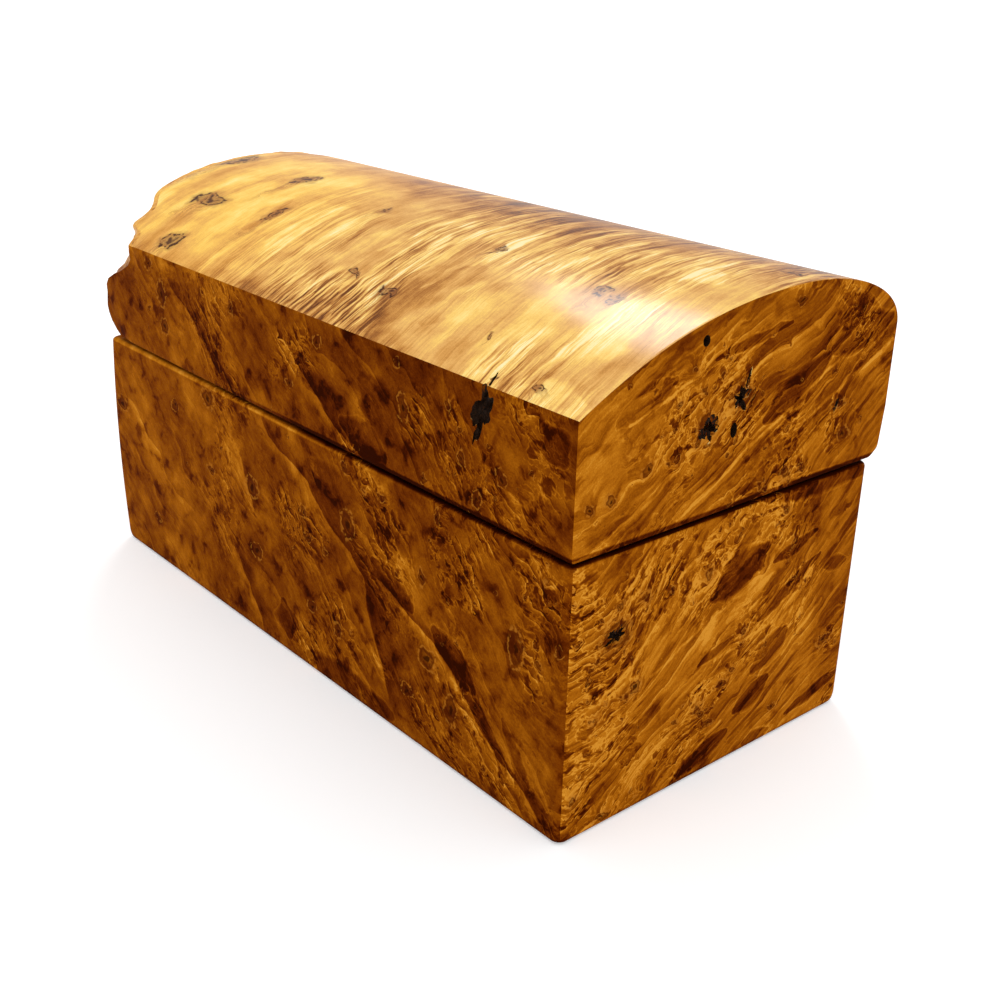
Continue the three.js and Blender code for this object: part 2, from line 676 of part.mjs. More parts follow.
const SMALL_BAY_MIDDLE = TRAY_LEFT + TRAY_LENGTH - TRAY_WALL - SMALL_BAY_LENGTH / 2;

function makeTray() {
  const outside = roundedRectangle(TRAY_LENGTH, TRAY_DEPTH, CAVITY_RADIUS - TRAY_CLEARANCE, TRAY_MIDDLE);
  const bayLength = TRAY_LENGTH - 2 * TRAY_WALL;
  const inside = roundedRectangle(bayLength, BAY_DEPTH, TRAY_INNER_RADIUS, TRAY_MIDDLE);
  const notchHeight = TRAY_TOP + THUMB_NOTCH_RADIUS - THUMB_NOTCH_DEPTH;
  const notch = rodAlongX(
    THUMB_NOTCH_RADIUS,
    TRAY_LEFT - OVERRUN,
    TRAY_LEFT + TRAY_LENGTH + OVERRUN,
    0,
    notchHeight,
    ROUND_STEPS,
  );
  let tray = solidOf(prismUp(outside, TRAY_BOTTOM, TRAY_TOP));
  tray = tray.subtract(solidOf(prismUp(inside, BAY_FLOOR, TRAY_TOP + OVERRUN)));
  return tray.subtract(solidOf(notch));
}

// Assembly

addPiece("base_block", makeBase(), wood);
addPiece("lid_block", makeLid(), lidWood);

for (const [side, middle] of Object.entries(hingeMiddles)) {
  addPiece(`hinge_${side}_base_leaf`, hingeLeaf(side, middle, false), brass);
  addPiece(`hinge_${side}_lid_leaf`, hingeLeaf(side, middle, true), brass);
  const from = middle - HINGE_LENGTH / 2;
  const pin = rodAlongX(PIN_RADIUS, from, from + HINGE_LENGTH, AXIS_Y, AXIS_Z);
  addPiece(`hinge_${side}_pin`, solidOf(pin), brass);
}
for (const place of screwPlaces) {
  addPiece(place.name, solidOf(placedScrew(place, 0)).subtract(solidOf(screwSlot(place))), brass);
}

for (const [side, direction] of Object.entries({ left: -1, right: 1 })) {
  const endWall = direction < 0 ? NATURAL_END_WALL : WALL;
  const thickness = SEAM_GAP - BUMPER_CLEARANCE;
  const bumper = new THREE.CylinderGeometry(BUMPER_RADIUS, BUMPER_RADIUS, thickness, HOLE_STEPS);
  const x = direction * (RIGHT - endWall / 2);
  bumper.rotateX(Math.PI / 2).translate(x, FRONT + WALL / 2, BASE_HEIGHT + thickness / 2);
  addPiece(`bumper_${side}`, bumper, leather);
}

const padBottom = FLOOR_HEIGHT + LINING_GAP;
addPiece(
  "base_wall_lining",
  wallLining(WELL_LENGTH, WELL_DEPTH, CAVITY_RADIUS, padBottom, LEDGE_HEIGHT - LINING_GAP),
  suede,
);
const padMargin = 2 * (2 * LINING_GAP + LINING_THICKNESS);
const basePad = cushion(
  WELL_LENGTH - padMargin,
  WELL_DEPTH - padMargin,
  BASE_PAD_THICKNESS,
  PAD_PLAN_SHARE,
  PAD_CROWN_SHARE,
  PAD_SEAT_SHARE,
);
addPiece("base_floor_pad", basePad.translate(CAVITY_MIDDLE, 0, padBottom), suede);

const lidPadTop = LID_CEILING - LINING_GAP;
addPiece(
  "lid_wall_lining",
  wallLining(CAVITY_LENGTH, CAVITY_DEPTH, CAVITY_RADIUS, LID_BOTTOM + LID_LINING_SET_BACK, lidPadTop),
  suede,
);
const lidPad = cushion(
  CAVITY_LENGTH - padMargin,
  CAVITY_DEPTH - padMargin,
  LID_PAD_THICKNESS,
  PAD_PLAN_SHARE,
  PAD_CROWN_SHARE,
  PAD_SEAT_SHARE,
);
addPiece("lid_pad", lidPad.rotateX(Math.PI).translate(CAVITY_MIDDLE, 0, lidPadTop), suede);

const feltPlan = roundedRectangle(BASE_LENGTH - 2 * FELT_MARGIN, BASE_DEPTH - 2 * FELT_MARGIN, FELT_CORNER);
addPiece("bottom_felt", prismUp(feltPlan, 0, FELT_THICKNESS), felt);

addPiece("tray_body", makeTray(), trayWood);
const dividerEnd = BAY_DEPTH / 2 - DIVIDER_FIT;
const divider = block(
  new THREE.Vector3(DIVIDER_LEFT, -dividerEnd, BAY_FLOOR + DIVIDER_FIT),
  new THREE.Vector3(DIVIDER_LEFT + DIVIDER_THICKNESS, dividerEnd, TRAY_TOP - DIVIDER_BELOW_RIM),
);
addPiece("tray_divider", divider, trayWood);
const trayPad = cushion(
  SMALL_BAY_LENGTH - 2 * SOFT_GAP,
  BAY_DEPTH - 2 * SOFT_GAP,
  TRAY_PAD_THICKNESS,
  PAD_PLAN_SHARE,
  PAD_CROWN_SHARE,
  PAD_SEAT_SHARE,
);
addPiece("tray_pad", trayPad.translate(SMALL_BAY_MIDDLE, 0, BAY_FLOOR + LINING_GAP), suede);

for (let number = 1; number <= RING_ROLL_COUNT; number += 1) {
  const roll = cushion(
    RING_ROLL_WIDTH,
    BAY_DEPTH - 2 * SOFT_GAP,
    RING_ROLL_HEIGHT,
    ROLL_PLAN_SHARE,
    ROLL_CROWN_SHARE,
    ROLL_SEAT_SHARE,
  );
  const left = TRAY_LEFT + TRAY_WALL + SOFT_GAP + (number - 1) * ROLL_PITCH;
  roll.translate(left + RING_ROLL_WIDTH / 2, 0, BAY_FLOOR + LINING_GAP);
  addPiece(`ring_roll_${number}`, roll, suede);
}

export default box;
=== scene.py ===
# Burl wood jewelry box: the finish of every surface and the shapes that show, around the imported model.
# Metres in the part's frame: +Z up, the long front faces -Y, the sawn end +X, the natural edge -X.
import json
from math import copysign, cos, pi, radians, sin

import bmesh
import bpy
import numpy as np
from mathutils import Matrix, Vector, noise


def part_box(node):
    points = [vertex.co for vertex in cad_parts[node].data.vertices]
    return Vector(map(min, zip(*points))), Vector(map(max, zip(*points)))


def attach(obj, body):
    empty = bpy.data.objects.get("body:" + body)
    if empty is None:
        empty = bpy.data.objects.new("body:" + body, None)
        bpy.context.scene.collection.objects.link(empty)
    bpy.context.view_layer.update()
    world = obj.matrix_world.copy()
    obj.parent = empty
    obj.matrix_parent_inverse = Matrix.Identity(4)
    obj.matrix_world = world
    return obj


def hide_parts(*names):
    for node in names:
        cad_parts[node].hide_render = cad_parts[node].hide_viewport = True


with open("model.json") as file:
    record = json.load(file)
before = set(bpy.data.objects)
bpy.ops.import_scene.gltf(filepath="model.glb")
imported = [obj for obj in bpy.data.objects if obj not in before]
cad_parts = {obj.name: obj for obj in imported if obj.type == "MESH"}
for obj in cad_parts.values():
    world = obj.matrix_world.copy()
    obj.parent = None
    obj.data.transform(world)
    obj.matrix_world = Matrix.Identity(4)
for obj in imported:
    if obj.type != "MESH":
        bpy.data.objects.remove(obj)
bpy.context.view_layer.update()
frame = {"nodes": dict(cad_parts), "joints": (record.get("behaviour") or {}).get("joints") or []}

MM = 0.001
collection = bpy.context.scene.collection

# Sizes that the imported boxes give
base_low, base_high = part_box("base_block")
lid_low, lid_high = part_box("lid_block")
felt_low, felt_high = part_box("bottom_felt")
RIGHT, FRONT, BACK = base_high.x, base_low.y, base_high.y
LEFT = -RIGHT
BASE_BOTTOM, BASE_TOP = base_low.z, base_high.z
LID_BOTTOM, LID_CREST = lid_low.z, lid_high.z
LID_BACK = lid_high.y
LID_DEPTH = LID_BACK - FRONT

# Base block
END_SWELL = 2.2 * MM
BOTTOM_ROUND = 3 * MM
BOTTOM_ROUND_WIDTH = 0.9
ARRIS = 0.45 * MM
TOP_ARRIS = 1.1 * MM
FOOT_ARRIS = 1 * MM
LID_ARRIS = 0.9 * MM

# Hollows of base and lid
WALL = 10 * MM
NATURAL_END_WALL = 14 * MM
BASE_FLOOR = 9 * MM
TRAY_POCKET_DEPTH = 25 * MM
LEDGE = 4 * MM
CAVITY_RADIUS = 7 * MM
LID_CAVITY_DEPTH = 24 * MM
RIM_EASE = 0.5 * MM
FELT_CORNER = 6 * MM
FELT_GAP = 0.1 * MM
OVERRUN = 2 * MM
CAVITY_LEFT, CAVITY_RIGHT = LEFT + NATURAL_END_WALL, RIGHT - WALL
CAVITY_FRONT, CAVITY_BACK = FRONT + WALL, BACK - WALL
CAVITY = ((CAVITY_LEFT, CAVITY_FRONT), (CAVITY_RIGHT, CAVITY_BACK))
LEDGE_HEIGHT = BASE_TOP - TRAY_POCKET_DEPTH
FLOOR_HEIGHT = BASE_BOTTOM + BASE_FLOOR
LID_CEILING = LID_BOTTOM + LID_CAVITY_DEPTH

# Lid block and its dome, as shares of the lid's depth and of the dome's rise
DOME_RISE = 17.3 * MM
BACK_TUCK = 1 * MM
BACK_BEVEL = 2 * MM
NATURAL_OVERHANG = 11.5 * MM
EDGE_ROLL = 2.6 * MM
LID_SHOULDER = LID_CREST - DOME_RISE
LID_SIDE_HEIGHT = LID_SHOULDER - LID_BOTTOM
LID_LENGTH = 2 * RIGHT + NATURAL_OVERHANG
CREST_SHARE = 0.654
FRONT_RISE_SHARES = (0.2, 0.653)
FRONT_CREST_SHARE = 0.397
BACK_CREST_SHARE = 0.8
BACK_FALL_SHARES = (1.0095, 0.717)
BACK_TOP_SHARE = 0.106
BACK_STRAIGHT_SHARE = 0.42

# Natural edge: for a share of the depth, the reach from the sawn end as a share of the lid's length
TOP_EDGE_SHARES = (
    (0, 0.866), (0.05, 0.884), (0.072, 0.915), (0.145, 0.928), (0.23, 0.977), (0.39, 0.996), (0.59, 1),
    (0.77, 0.999), (0.87, 0.978), (1, 0.94),
)
LOW_LOBE_SHARES = (0.947, 0.972)
LOBE_WIDENS_SHARE = 0.4
LOBE_TOP_SHARES = (0.5, 0.86)
UNDERCUT_SHARE = 0.037
UNDERCUT_HEIGHT_SHARE = 0.3
WRINKLE_DEPTH = 1.5 * MM
WRINKLE_REACH = 7 * MM
WRINKLES_START_SHARE = 0.93
SIDE_WRINKLE_SHARE = 0.28

# Hinges, as the leaves and knuckles are let into the wood
KNUCKLE_ROOM = 2.15 * MM
LEAF_THICKNESS = 1.3 * MM
LEAF_FIT = 0.12 * MM
SCREW_FIT = 0.1 * MM
SCREW_STEPS = 20
# Depth of a screw's head, where its cone ends, and the length and half width of its point
SCREW_HEAD_DEPTH, SCREW_CONE_END, SCREW_POINT, SCREW_TIP = 0.25 * MM, 1.15 * MM, 1.6 * MM, 0.05 * MM
AXIS_Y, AXIS_Z = frame["joints"][0]["pos_m"][1:]

# Holes and hollows in the wood's faces
BORER_RADIUS = 1.05 * MM
BORER_DEPTH = 5 * MM
ROD_STEPS = 48
# Each borer hole: its place on the end, and its height over its width
BORER_HOLES = ((-14.3 * MM, 105.9 * MM, 1.15), (-3.3 * MM, 84.8 * MM, 1.6))


# Meshes

def new_object(name, data):
    made = bpy.data.objects.new(name, data)
    collection.objects.link(made)
    return made


def made_object(name, points, faces):
    mesh = bpy.data.meshes.new(name)
    mesh.from_pydata([tuple(p) for p in points], [], faces)
    mesh.update()
    return new_object(name, mesh)


def closed_rings(name, rings, first=None, last=None):
    """A closed skin over rings of equal count. Each end is a point, or else one flat face."""
    count = len(rings[0])
    points = [p for ring in rings for p in ring]
    sides = [(i, (i + 1) % count) for i in range(count)]
    faces = []
    for start in range(0, len(points) - count, count):
        faces.extend((start + a, start + b, start + b + count, start + a + count) for a, b in sides)
    start = len(points) - count
    if first is None:
        faces.append(tuple(reversed(range(count))))
    else:
        points.append(first)
        faces.extend((len(points) - 1, b, a) for a, b in sides)
    if last is None:
        faces.append(tuple(range(start, start + count)))
    else:
        points.append(last)
        faces.extend((len(points) - 1, start + a, start + b) for a, b in sides)
    made = made_object(name, points, faces)
    face_outwards(made)
    return made


def face_outwards(piece):
    loose = bmesh.new()
    loose.from_mesh(piece.data)
    bmesh.ops.recalc_face_normals(loose, faces=loose.faces)
    loose.to_mesh(piece.data)
    loose.free()


CORNER_STEPS = 10
EASE_STEPS = 4


def round_ring(low, high, radius, z, inset=0.0):
    """A rectangle with round corners, seen from above, and drawn in on all sides by the inset."""
    reach = radius
    radius -= inset
    left, near, right, far = low[0] + reach, low[1] + reach, high[0] - reach, high[1] - reach
    ring = []
    for x, y, start in ((right, near, -pi / 2), (right, far, 0), (left, far, pi / 2), (left, near, pi)):
        for step in range(CORNER_STEPS + 1):
            angle = start + pi / 2 * step / CORNER_STEPS
            ring.append((x + radius * cos(angle), y + radius * sin(angle), z))
    return ring


def easing(radius):
    """Inset and height of a quarter round, from its side to its top."""
    steps = range(EASE_STEPS + 1)
    angles = [pi / 2 * step / EASE_STEPS for step in steps]
    return [(radius * (1 - cos(a)), radius * sin(a)) for a in angles]


def well(name, low, high, radius, floor, rim, ease=RIM_EASE, fillet=0.8 * MM, upward=True):
    """A cutter for a hollow: a rounded floor, straight walls and a rim that opens by its ease.
    Floor and rim are heights. With upward false, the hollow opens downwards."""
    way = 1 if upward else -1
    levels = []
    for inset, rise in reversed(easing(fillet)):
        levels.append((-inset, floor + way * (fillet - rise)))
    for inset, rise in easing(ease):
        levels.append((inset, rim - way * (ease - rise)))
    levels.append((ease, rim + way * OVERRUN))
    return closed_rings(name, [round_ring(low, high, radius, z, -spread) for spread, z in levels])


def circle(radius, steps):
    angles = [2 * pi * step / steps for step in range(steps)]
    return [(radius * cos(angle), radius * sin(angle)) for angle in angles]


def rod_along_x(name, radius, start, end, y, z, tall=1.0):
    outline = circle(radius, ROD_STEPS)
    return closed_rings(name, [[(x, y + a, z + tall * b) for a, b in outline] for x in (start, end)])


def box_form(name, low, high):
    corners = ((low[0], low[1]), (high[0], low[1]), (high[0], high[1]), (low[0], high[1]))
    return closed_rings(name, [[(x, y, z) for x, y in corners] for z in (low[2], high[2])])


def jagged_blob(name, place, reach, seed, roughness=0.3, rounds=4, lean=0, axis="X"):
    """A ragged lump that cuts a natural hollow, turned about the axis by its lean in degrees.
    reach is its half size along its own axes, in millimetres."""
    turn = Matrix.Rotation(radians(lean), 3, axis)
    reach = [half * MM for half in reach]
    lump = bmesh.new()
    bmesh.ops.create_icosphere(lump, subdivisions=rounds, radius=1)
    for vert in lump.verts:
        coarse = noise.noise(vert.co * 1.7 + Vector((seed, 0, 0)))
        fine = noise.noise(vert.co * 4.3 + Vector((0, seed, 0)))
        vert.co *= 1 + roughness * (1.5 * coarse + 0.6 * fine)
        vert.co = turn @ Vector(a * b for a, b in zip(vert.co, reach)) + Vector(place)
    mesh = bpy.data.meshes.new(name)
    lump.to_mesh(mesh)
    lump.free()
    return new_object(name, mesh)


def shaped_mesh(piece):
    """The piece's mesh with its modifiers worked in."""
    shaped = piece.evaluated_get(bpy.context.evaluated_depsgraph_get())
    return bpy.data.meshes.new_from_object(shaped)


def work_in(piece):
    mesh = shaped_mesh(piece)
    piece.modifiers.clear()
    piece.data = mesh


def carve(piece, cutters):
    for cutter in cutters:
        cut = piece.modifiers.new("cut", "BOOLEAN")
        cut.operation = "DIFFERENCE"
        cut.solver = "MANIFOLD"
        cut.object = cutter
        work_in(piece)
    for cutter in cutters:
        bpy.data.objects.remove(cutter)


def smooth_shading(piece, angle=32):
    piece.data.shade_smooth()
    piece.data.set_sharp_from_angle(angle=radians(angle))
    piece.modifiers.new("even_shading", "WEIGHTED_NORMAL").keep_sharp = True


def seat(piece, body, slot, *nodes):
    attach(piece, body)
    if nodes:
        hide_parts(*nodes)


def blended(a, b, share):
    return a + (b - a) * share


def smooth_step(low, high, value):
    share = min(1, max(0, (value - low) / (high - low)))
    return share * share * (3 - 2 * share)


# Cutters for the hinges and screws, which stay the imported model's own pieces

def hinge_cutters(body):
    cutters = []
    for side in ("left", "right"):
        low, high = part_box(f"hinge_{side}_{body}_leaf")
        start, end = low.x - LEAF_FIT, high.x + LEAF_FIT
        if body == "lid":
            bottom, top = LID_BOTTOM - OVERRUN, LID_BOTTOM + LEAF_THICKNESS + LEAF_FIT
        else:
            bottom, top = BASE_TOP - LEAF_THICKNESS - LEAF_FIT, BASE_TOP + OVERRUN
        lower = (start, low.y - LEAF_FIT, bottom)
        cutters.append(box_form("mortise", lower, (end, AXIS_Y, top)))
        cutters.append(rod_along_x("knuckle_room", KNUCKLE_ROOM, start, end, AXIS_Y, AXIS_Z))
        for half in ("inner", "outer"):
            cutters.append(screw_room(*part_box(f"screw_{side}_{body}_{half}"), body == "lid"))
    return cutters


def screw_room(low, high, upward):
    """Room for a countersunk screw. Each step of its outline has a radius and a depth."""
    x, y = (low.x + high.x) / 2, (low.y + high.y) / 2
    head = (high.x - low.x) / 2 + SCREW_FIT
    length = high.z - low.z
    outline = (
        (head, -OVERRUN / 2), (head, SCREW_HEAD_DEPTH), (head / 2, SCREW_CONE_END),
        (head / 2, length - SCREW_POINT), (SCREW_TIP, length + SCREW_FIT),
    )
    rings = []
    for radius, depth in outline:
        z = low.z + depth if upward else high.z - depth
        rings.append([(x + a, y + b, z) for a, b in circle(radius, SCREW_STEPS)])
    return closed_rings("screw_room", rings)


# Base block

def quadratic(a, b, c, share):
    rest = 1 - share
    return rest * rest * a + 2 * rest * share * b + share * share * c


def base_levels():
    """The heights of the base's rings, each with its inset at the arrises."""
    foot, side = BASE_BOTTOM + FOOT_ARRIS, BASE_BOTTOM + BOTTOM_ROUND
    levels = [(foot - rise, inset) for inset, rise in reversed(easing(FOOT_ARRIS))]
    for start, end, steps in ((foot, side, 9), (side, BASE_TOP - TOP_ARRIS, 24)):
        levels.extend((blended(start, end, step / steps), 0) for step in range(1, steps + 1))
    levels.extend((BASE_TOP - TOP_ARRIS + rise, inset) for inset, rise in easing(TOP_ARRIS)[1:])
    return levels


def base_form():
    rings = []
    waist = (BASE_BOTTOM + BASE_TOP) / 2
    half = (BASE_TOP - BASE_BOTTOM) / 2
    for z, inset in base_levels():
        bulge = 1 - ((z - waist) / half) ** 2
        left = LEFT + END_SWELL * (1 - bulge)
        low = min(1, (z - BASE_BOTTOM) / BOTTOM_ROUND)
        tuck = BOTTOM_ROUND * (1 - (1 - (1 - low) ** 2) ** 0.5) * BOTTOM_ROUND_WIDTH
        lower, upper = (left + inset + tuck, FRONT + inset), (RIGHT - inset, BACK - inset - tuck)
        rings.append(round_ring(lower, upper, 2 * TOP_ARRIS, z))
    return closed_rings("base_wood", rings)


def make_base_wood():
    wood = base_form()
    deep = (
        (CAVITY_LEFT + LEDGE, CAVITY_FRONT + LEDGE),
        (CAVITY_RIGHT - LEDGE, CAVITY_BACK - LEDGE),
    )
    recess = (
        (felt_low.x - FELT_GAP, felt_low.y - FELT_GAP),
        (felt_high.x + FELT_GAP, felt_high.y + FELT_GAP),
    )
    carve(wood, [
        well("pocket", *CAVITY, CAVITY_RADIUS, LEDGE_HEIGHT, BASE_TOP),
        well("deep_compartment", *deep, CAVITY_RADIUS, FLOOR_HEIGHT, LEDGE_HEIGHT),
        well(
            "felt_recess", *recess, FELT_CORNER + FELT_GAP, felt_high.z + FELT_GAP, BASE_BOTTOM,
            ease=0.1 * MM, fillet=0.1 * MM, upward=False,
        ),
        jagged_blob("bottom_nick", (53 * MM, FRONT, BASE_BOTTOM), (1.5, 0.5, 0.6), 3, rounds=3),
        jagged_blob("corner_nick", (RIGHT, FRONT, 1.2 * MM), (0.6, 0.6, 1.2), 5, rounds=3),
        jagged_blob(
            "end_knot_hollow", (RIGHT + 0.2 * MM, -34.8 * MM, 46.7 * MM), (1.6, 2.9, 2.1), 11, 0.6, lean=20,
        ),
        *hinge_cutters("base"),
    ])
    return wood


# Lid block

def bezier(a, b, c, d, share):
    rest = 1 - share
    return rest**3 * a + 3 * rest * rest * share * b + 3 * rest * share * share * c + share**3 * d


def dome_points(front_steps=64, back_steps=48):
    def place(shares):
        return np.array([FRONT + shares[0] * LID_DEPTH, LID_SHOULDER + shares[1] * DOME_RISE])

    shoulder, crest = place((0, 0)), place((CREST_SHARE, 1))
    front = (shoulder, place(FRONT_RISE_SHARES), place((FRONT_CREST_SHARE, 1)), crest)
    back = (crest, place((BACK_CREST_SHARE, 1)), place(BACK_FALL_SHARES), place((1, BACK_TOP_SHARE)))
    rise = [bezier(*front, step / front_steps) for step in range(front_steps)]
    fall = [bezier(*back, step / back_steps) for step in range(back_steps + 1)]
    return [np.array([min(y, LID_BACK), z]) for y, z in rise + fall]


# Where the cosine of a corner's turn is above this, it belongs to a curve. A round takes this share of a
# side at most
CURVE_BEND = 0.985
SIDE_SHARE = 0.45


def eased_corners(points, radius, steps=4):
    """A closed outline whose corners are rounded where both of their sides are long enough."""
    eased = []
    count = len(points)
    for i, here in enumerate(points):
        before, after = points[i - 1], points[(i + 1) % count]
        back, ahead = before - here, after - here
        lengths = np.linalg.norm(back), np.linalg.norm(ahead)
        bend = -np.dot(back, ahead) / (lengths[0] * lengths[1])
        if bend > CURVE_BEND:
            eased.append(here)
            continue
        reaches = [min(radius, SIDE_SHARE * length) for length in lengths]
        start = here + back / lengths[0] * reaches[0]
        end = here + ahead / lengths[1] * reaches[1]
        eased.extend(quadratic(start, here, end, step / steps) for step in range(steps + 1))
    return eased


def lid_section(front_steps=14, bottom_steps=30):
    straight_end = LID_BOTTOM + BACK_STRAIGHT_SHARE * LID_SIDE_HEIGHT
    front = [(FRONT, blended(LID_BOTTOM, LID_SHOULDER, step / front_steps)) for step in range(front_steps)]
    back = [(LID_BACK, straight_end), (LID_BACK - BACK_TUCK, LID_BOTTOM + BACK_BEVEL)]
    bottom = [(blended(BACK, FRONT, step / bottom_steps), LID_BOTTOM) for step in range(bottom_steps)]
    outline = [np.array(place) for place in front + dome_points() + back + bottom]
    return eased_corners(outline, LID_ARRIS)


def smooth_curve(places, steps=12):
    """A Catmull-Rom curve through the places, as a list of points."""
    places = [np.array(p, float) for p in places]
    ends = [places[0]] + places + [places[-1]]
    points = []
    for k in range(len(places) - 1):
        a, b, c, d = ends[k : k + 4]
        for step in range(steps):
            t = step / steps
            points.append(0.5 * (
                2 * b + (c - a) * t + (2 * a - 5 * b + 4 * c - d) * t * t
                + (3 * b - a - 3 * c + d) * t**3
            ))
    points.append(places[-1])
    return np.array(points)


DOME = np.array(dome_points())
TOP_EDGE = smooth_curve(TOP_EDGE_SHARES)


def dome_height(y):
    return float(np.interp(y, DOME[:, 0], DOME[:, 1]))


def natural_edge(y, z):
    """Where the natural edge lies along X, for a place in the lid's section."""
    across = min(1, max(0, (y - FRONT) / LID_DEPTH))
    up = min(1, max(0, (z - LID_BOTTOM) / (dome_height(y) - LID_BOTTOM)))
    lobe = blended(*LOW_LOBE_SHARES, smooth_step(0, LOBE_WIDENS_SHARE, across))
    top = float(np.interp(across, TOP_EDGE[:, 0], TOP_EDGE[:, 1]))
    reach = blended(lobe, top, smooth_step(*LOBE_TOP_SHARES, up))
    tucked = max(0, 1 - up / UNDERCUT_HEIGHT_SHARE)
    return RIGHT - LID_LENGTH * (reach - UNDERCUT_SHARE * tucked * tucked)


def wrinkle(point):
    """Depth of the natural edge's pits and folds, from 0 to 1."""
    p = Vector(point) / MM
    folds = abs(noise.noise(Vector((p.x * 0.06, p.y * 0.1, p.z * 0.17)) + Vector((3, 0, 7))))
    pits = noise.voronoi(Vector((p.x * 0.12, p.y * 0.16, p.z * 0.16)))[0][0]
    fine = noise.noise(p * 0.55)
    return max(0, min(1, 1.3 * folds + 0.55 * pits + 0.22 * fine))


def inward_normals(outline):
    normals = []
    for i, here in enumerate(outline):
        along = outline[(i + 1) % len(outline)] - outline[i - 1]
        along = along / np.linalg.norm(along)
        normals.append(np.array([along[1], -along[0]]))
    return normals


def sawn_end_rings(outline, normals):
    rings = []
    for inset, rise in reversed(easing(ARRIS)):
        x = RIGHT - ARRIS + rise
        rings.append([(x, *(p + n * inset)) for p, n in zip(outline, normals)])
    return rings


def natural_end_rings(outline, normals, side_steps=16, roll_steps=8):
    """Rings along the lid from its sawn end, closer where the wrinkles begin, and round the rolled edge."""
    edges = [natural_edge(*p) for p in outline]
    sides = [(RIGHT - ARRIS, edge + EDGE_ROLL) for edge in edges]
    rings = []
    for share in (0.25, 0.5, 0.75, 0.88):
        rings.append([(blended(*side, share), *p) for p, side in zip(outline, sides)])
    for step in range(side_steps + 1):
        ring = []
        for p, n, side in zip(outline, normals, sides):
            x = blended(blended(*side, WRINKLES_START_SHARE), side[1], step / side_steps)
            depth = SIDE_WRINKLE_SHARE * WRINKLE_DEPTH * (1 - smooth_step(0, WRINKLE_REACH, x - side[1]))
            ring.append((x, *(p + n * depth * wrinkle((x, *p)))))
        rings.append(ring)
    for step in range(1, roll_steps + 1):
        angle = pi / 2 * step / roll_steps
        ring = []
        for p, n, edge in zip(outline, normals, edges):
            folded = WRINKLE_DEPTH * wrinkle((edge, *p))
            y, z = p + n * (EDGE_ROLL * (1 - cos(angle)) + SIDE_WRINKLE_SHARE * folded)
            ring.append((edge + EDGE_ROLL * (1 - sin(angle)) + folded * sin(angle) ** 2, y, z))
        rings.append(ring)
    return rings


def natural_cap_rings(edge_ring, middle, steps=34):
    rings = []
    for step in range(1, steps):
        share = 1 - step / steps
        ring = []
        for _, y, z in edge_ring:
            y, z = blended(middle[0], y, share), blended(middle[1], z, share)
            x = natural_edge(y, z)
            ring.append((x + WRINKLE_DEPTH * wrinkle((x, y, z)), y, z))
        rings.append(ring)
    return rings


def lid_form():
    outline = lid_section()
    normals = inward_normals(outline)
    middle = ((FRONT + LID_BACK) / 2, LID_BOTTOM + LID_SIDE_HEIGHT / 2)
    rings = sawn_end_rings(outline, normals) + natural_end_rings(outline, normals)
    rings += natural_cap_rings(rings[-1], middle)
    x = natural_edge(*middle)
    last = (x + WRINKLE_DEPTH * wrinkle((x, *middle)), *middle)
    return closed_rings("lid_wood", rings, last=last)


# Bark pockets and cracks of the lid: place and half size in millimetres, seed, raggedness, and the lean
# in degrees with its axis
FRONT_MM, RIGHT_MM, SHOULDER_MM = FRONT / MM, RIGHT / MM, LID_SHOULDER / MM
LID_POCKETS = {
    "bark_pocket": ((74.4, FRONT_MM - 0.3, 90.3), (2.5, 2.8, 5.6), 2, 0.42, 20, "Y"),
    "bark_tail": ((72.6, FRONT_MM, 85.3), (0.6, 1.2, 2.6), 8, 0.3, 22, "Y"),
    "shoulder_crack": ((75.5, FRONT_MM + 1.9, SHOULDER_MM + 0.9), (0.3, 2.4, 1.5), 4, 0.3, 21, "Z"),
    "end_pocket_low": ((RIGHT_MM + 0.2, -11.2, 87.1), (2.2, 2.7, 2.4), 21, 0.6, -50, "X"),
    "end_pocket_high": ((RIGHT_MM + 0.2, -1.9, 91.6), (2.2, 2.4, 2.6), 14, 0.6, -28, "X"),
    "end_pocket_tail": ((RIGHT_MM, 0.1, 95.4), (1, 0.55, 2.5), 6, 0.3, -14, "X"),
    "end_slit": ((RIGHT_MM, 32.1, 83.2), (0.8, 0.6, 2), 9, 0.3, -25, "X"),
}


def make_lid_wood():
    wood = lid_form()
    cutters = [well("lid_hollow", *CAVITY, CAVITY_RADIUS, LID_CEILING, LID_BOTTOM, upward=False)]
    for name, (place, reach, seed, roughness, lean, axis) in LID_POCKETS.items():
        place = [value * MM for value in place]
        cutters.append(jagged_blob(name, place, reach, seed, roughness, lean=lean, axis=axis))
    for y, z, tall in BORER_HOLES:
        start, end = RIGHT - BORER_DEPTH, RIGHT + OVERRUN
        cutters.append(rod_along_x("borer_hole", BORER_RADIUS, start, end, y, z, tall))
    carve(wood, cutters + hinge_cutters("lid"))
    return wood


# Suede: puffed pads, and bands along the walls

CLOTH_SCALE = 5
CLOTH_FRAMES = 20
CLOTH_PRESSURE = 4
PAD_CLEARANCE = 0.12 * MM
# A pad starts smaller than its room, by a share of its furthest travel or of its half size
SLACK_OF_TRAVEL, SLACK_OF_SIZE = 0.8, 0.3
# Close to the walls of its room the pad gives way softly, over a share of its half size or a length
GIVE_SHARE, GIVE_LENGTH = 0.2, 0.5 * MM
NO_TRAVEL = 1e-9
SEAM = 0.3 * MM
CARD_THICKNESS = 1.2 * MM
CARD_CORNER = CAVITY_RADIUS - 0.3 * MM
CARD_MARGIN = 0.05 * MM
CARD_EDGE_ROUND = 0.45 * MM


def signed_power(value, power):
    return copysign(abs(value) ** power, value)


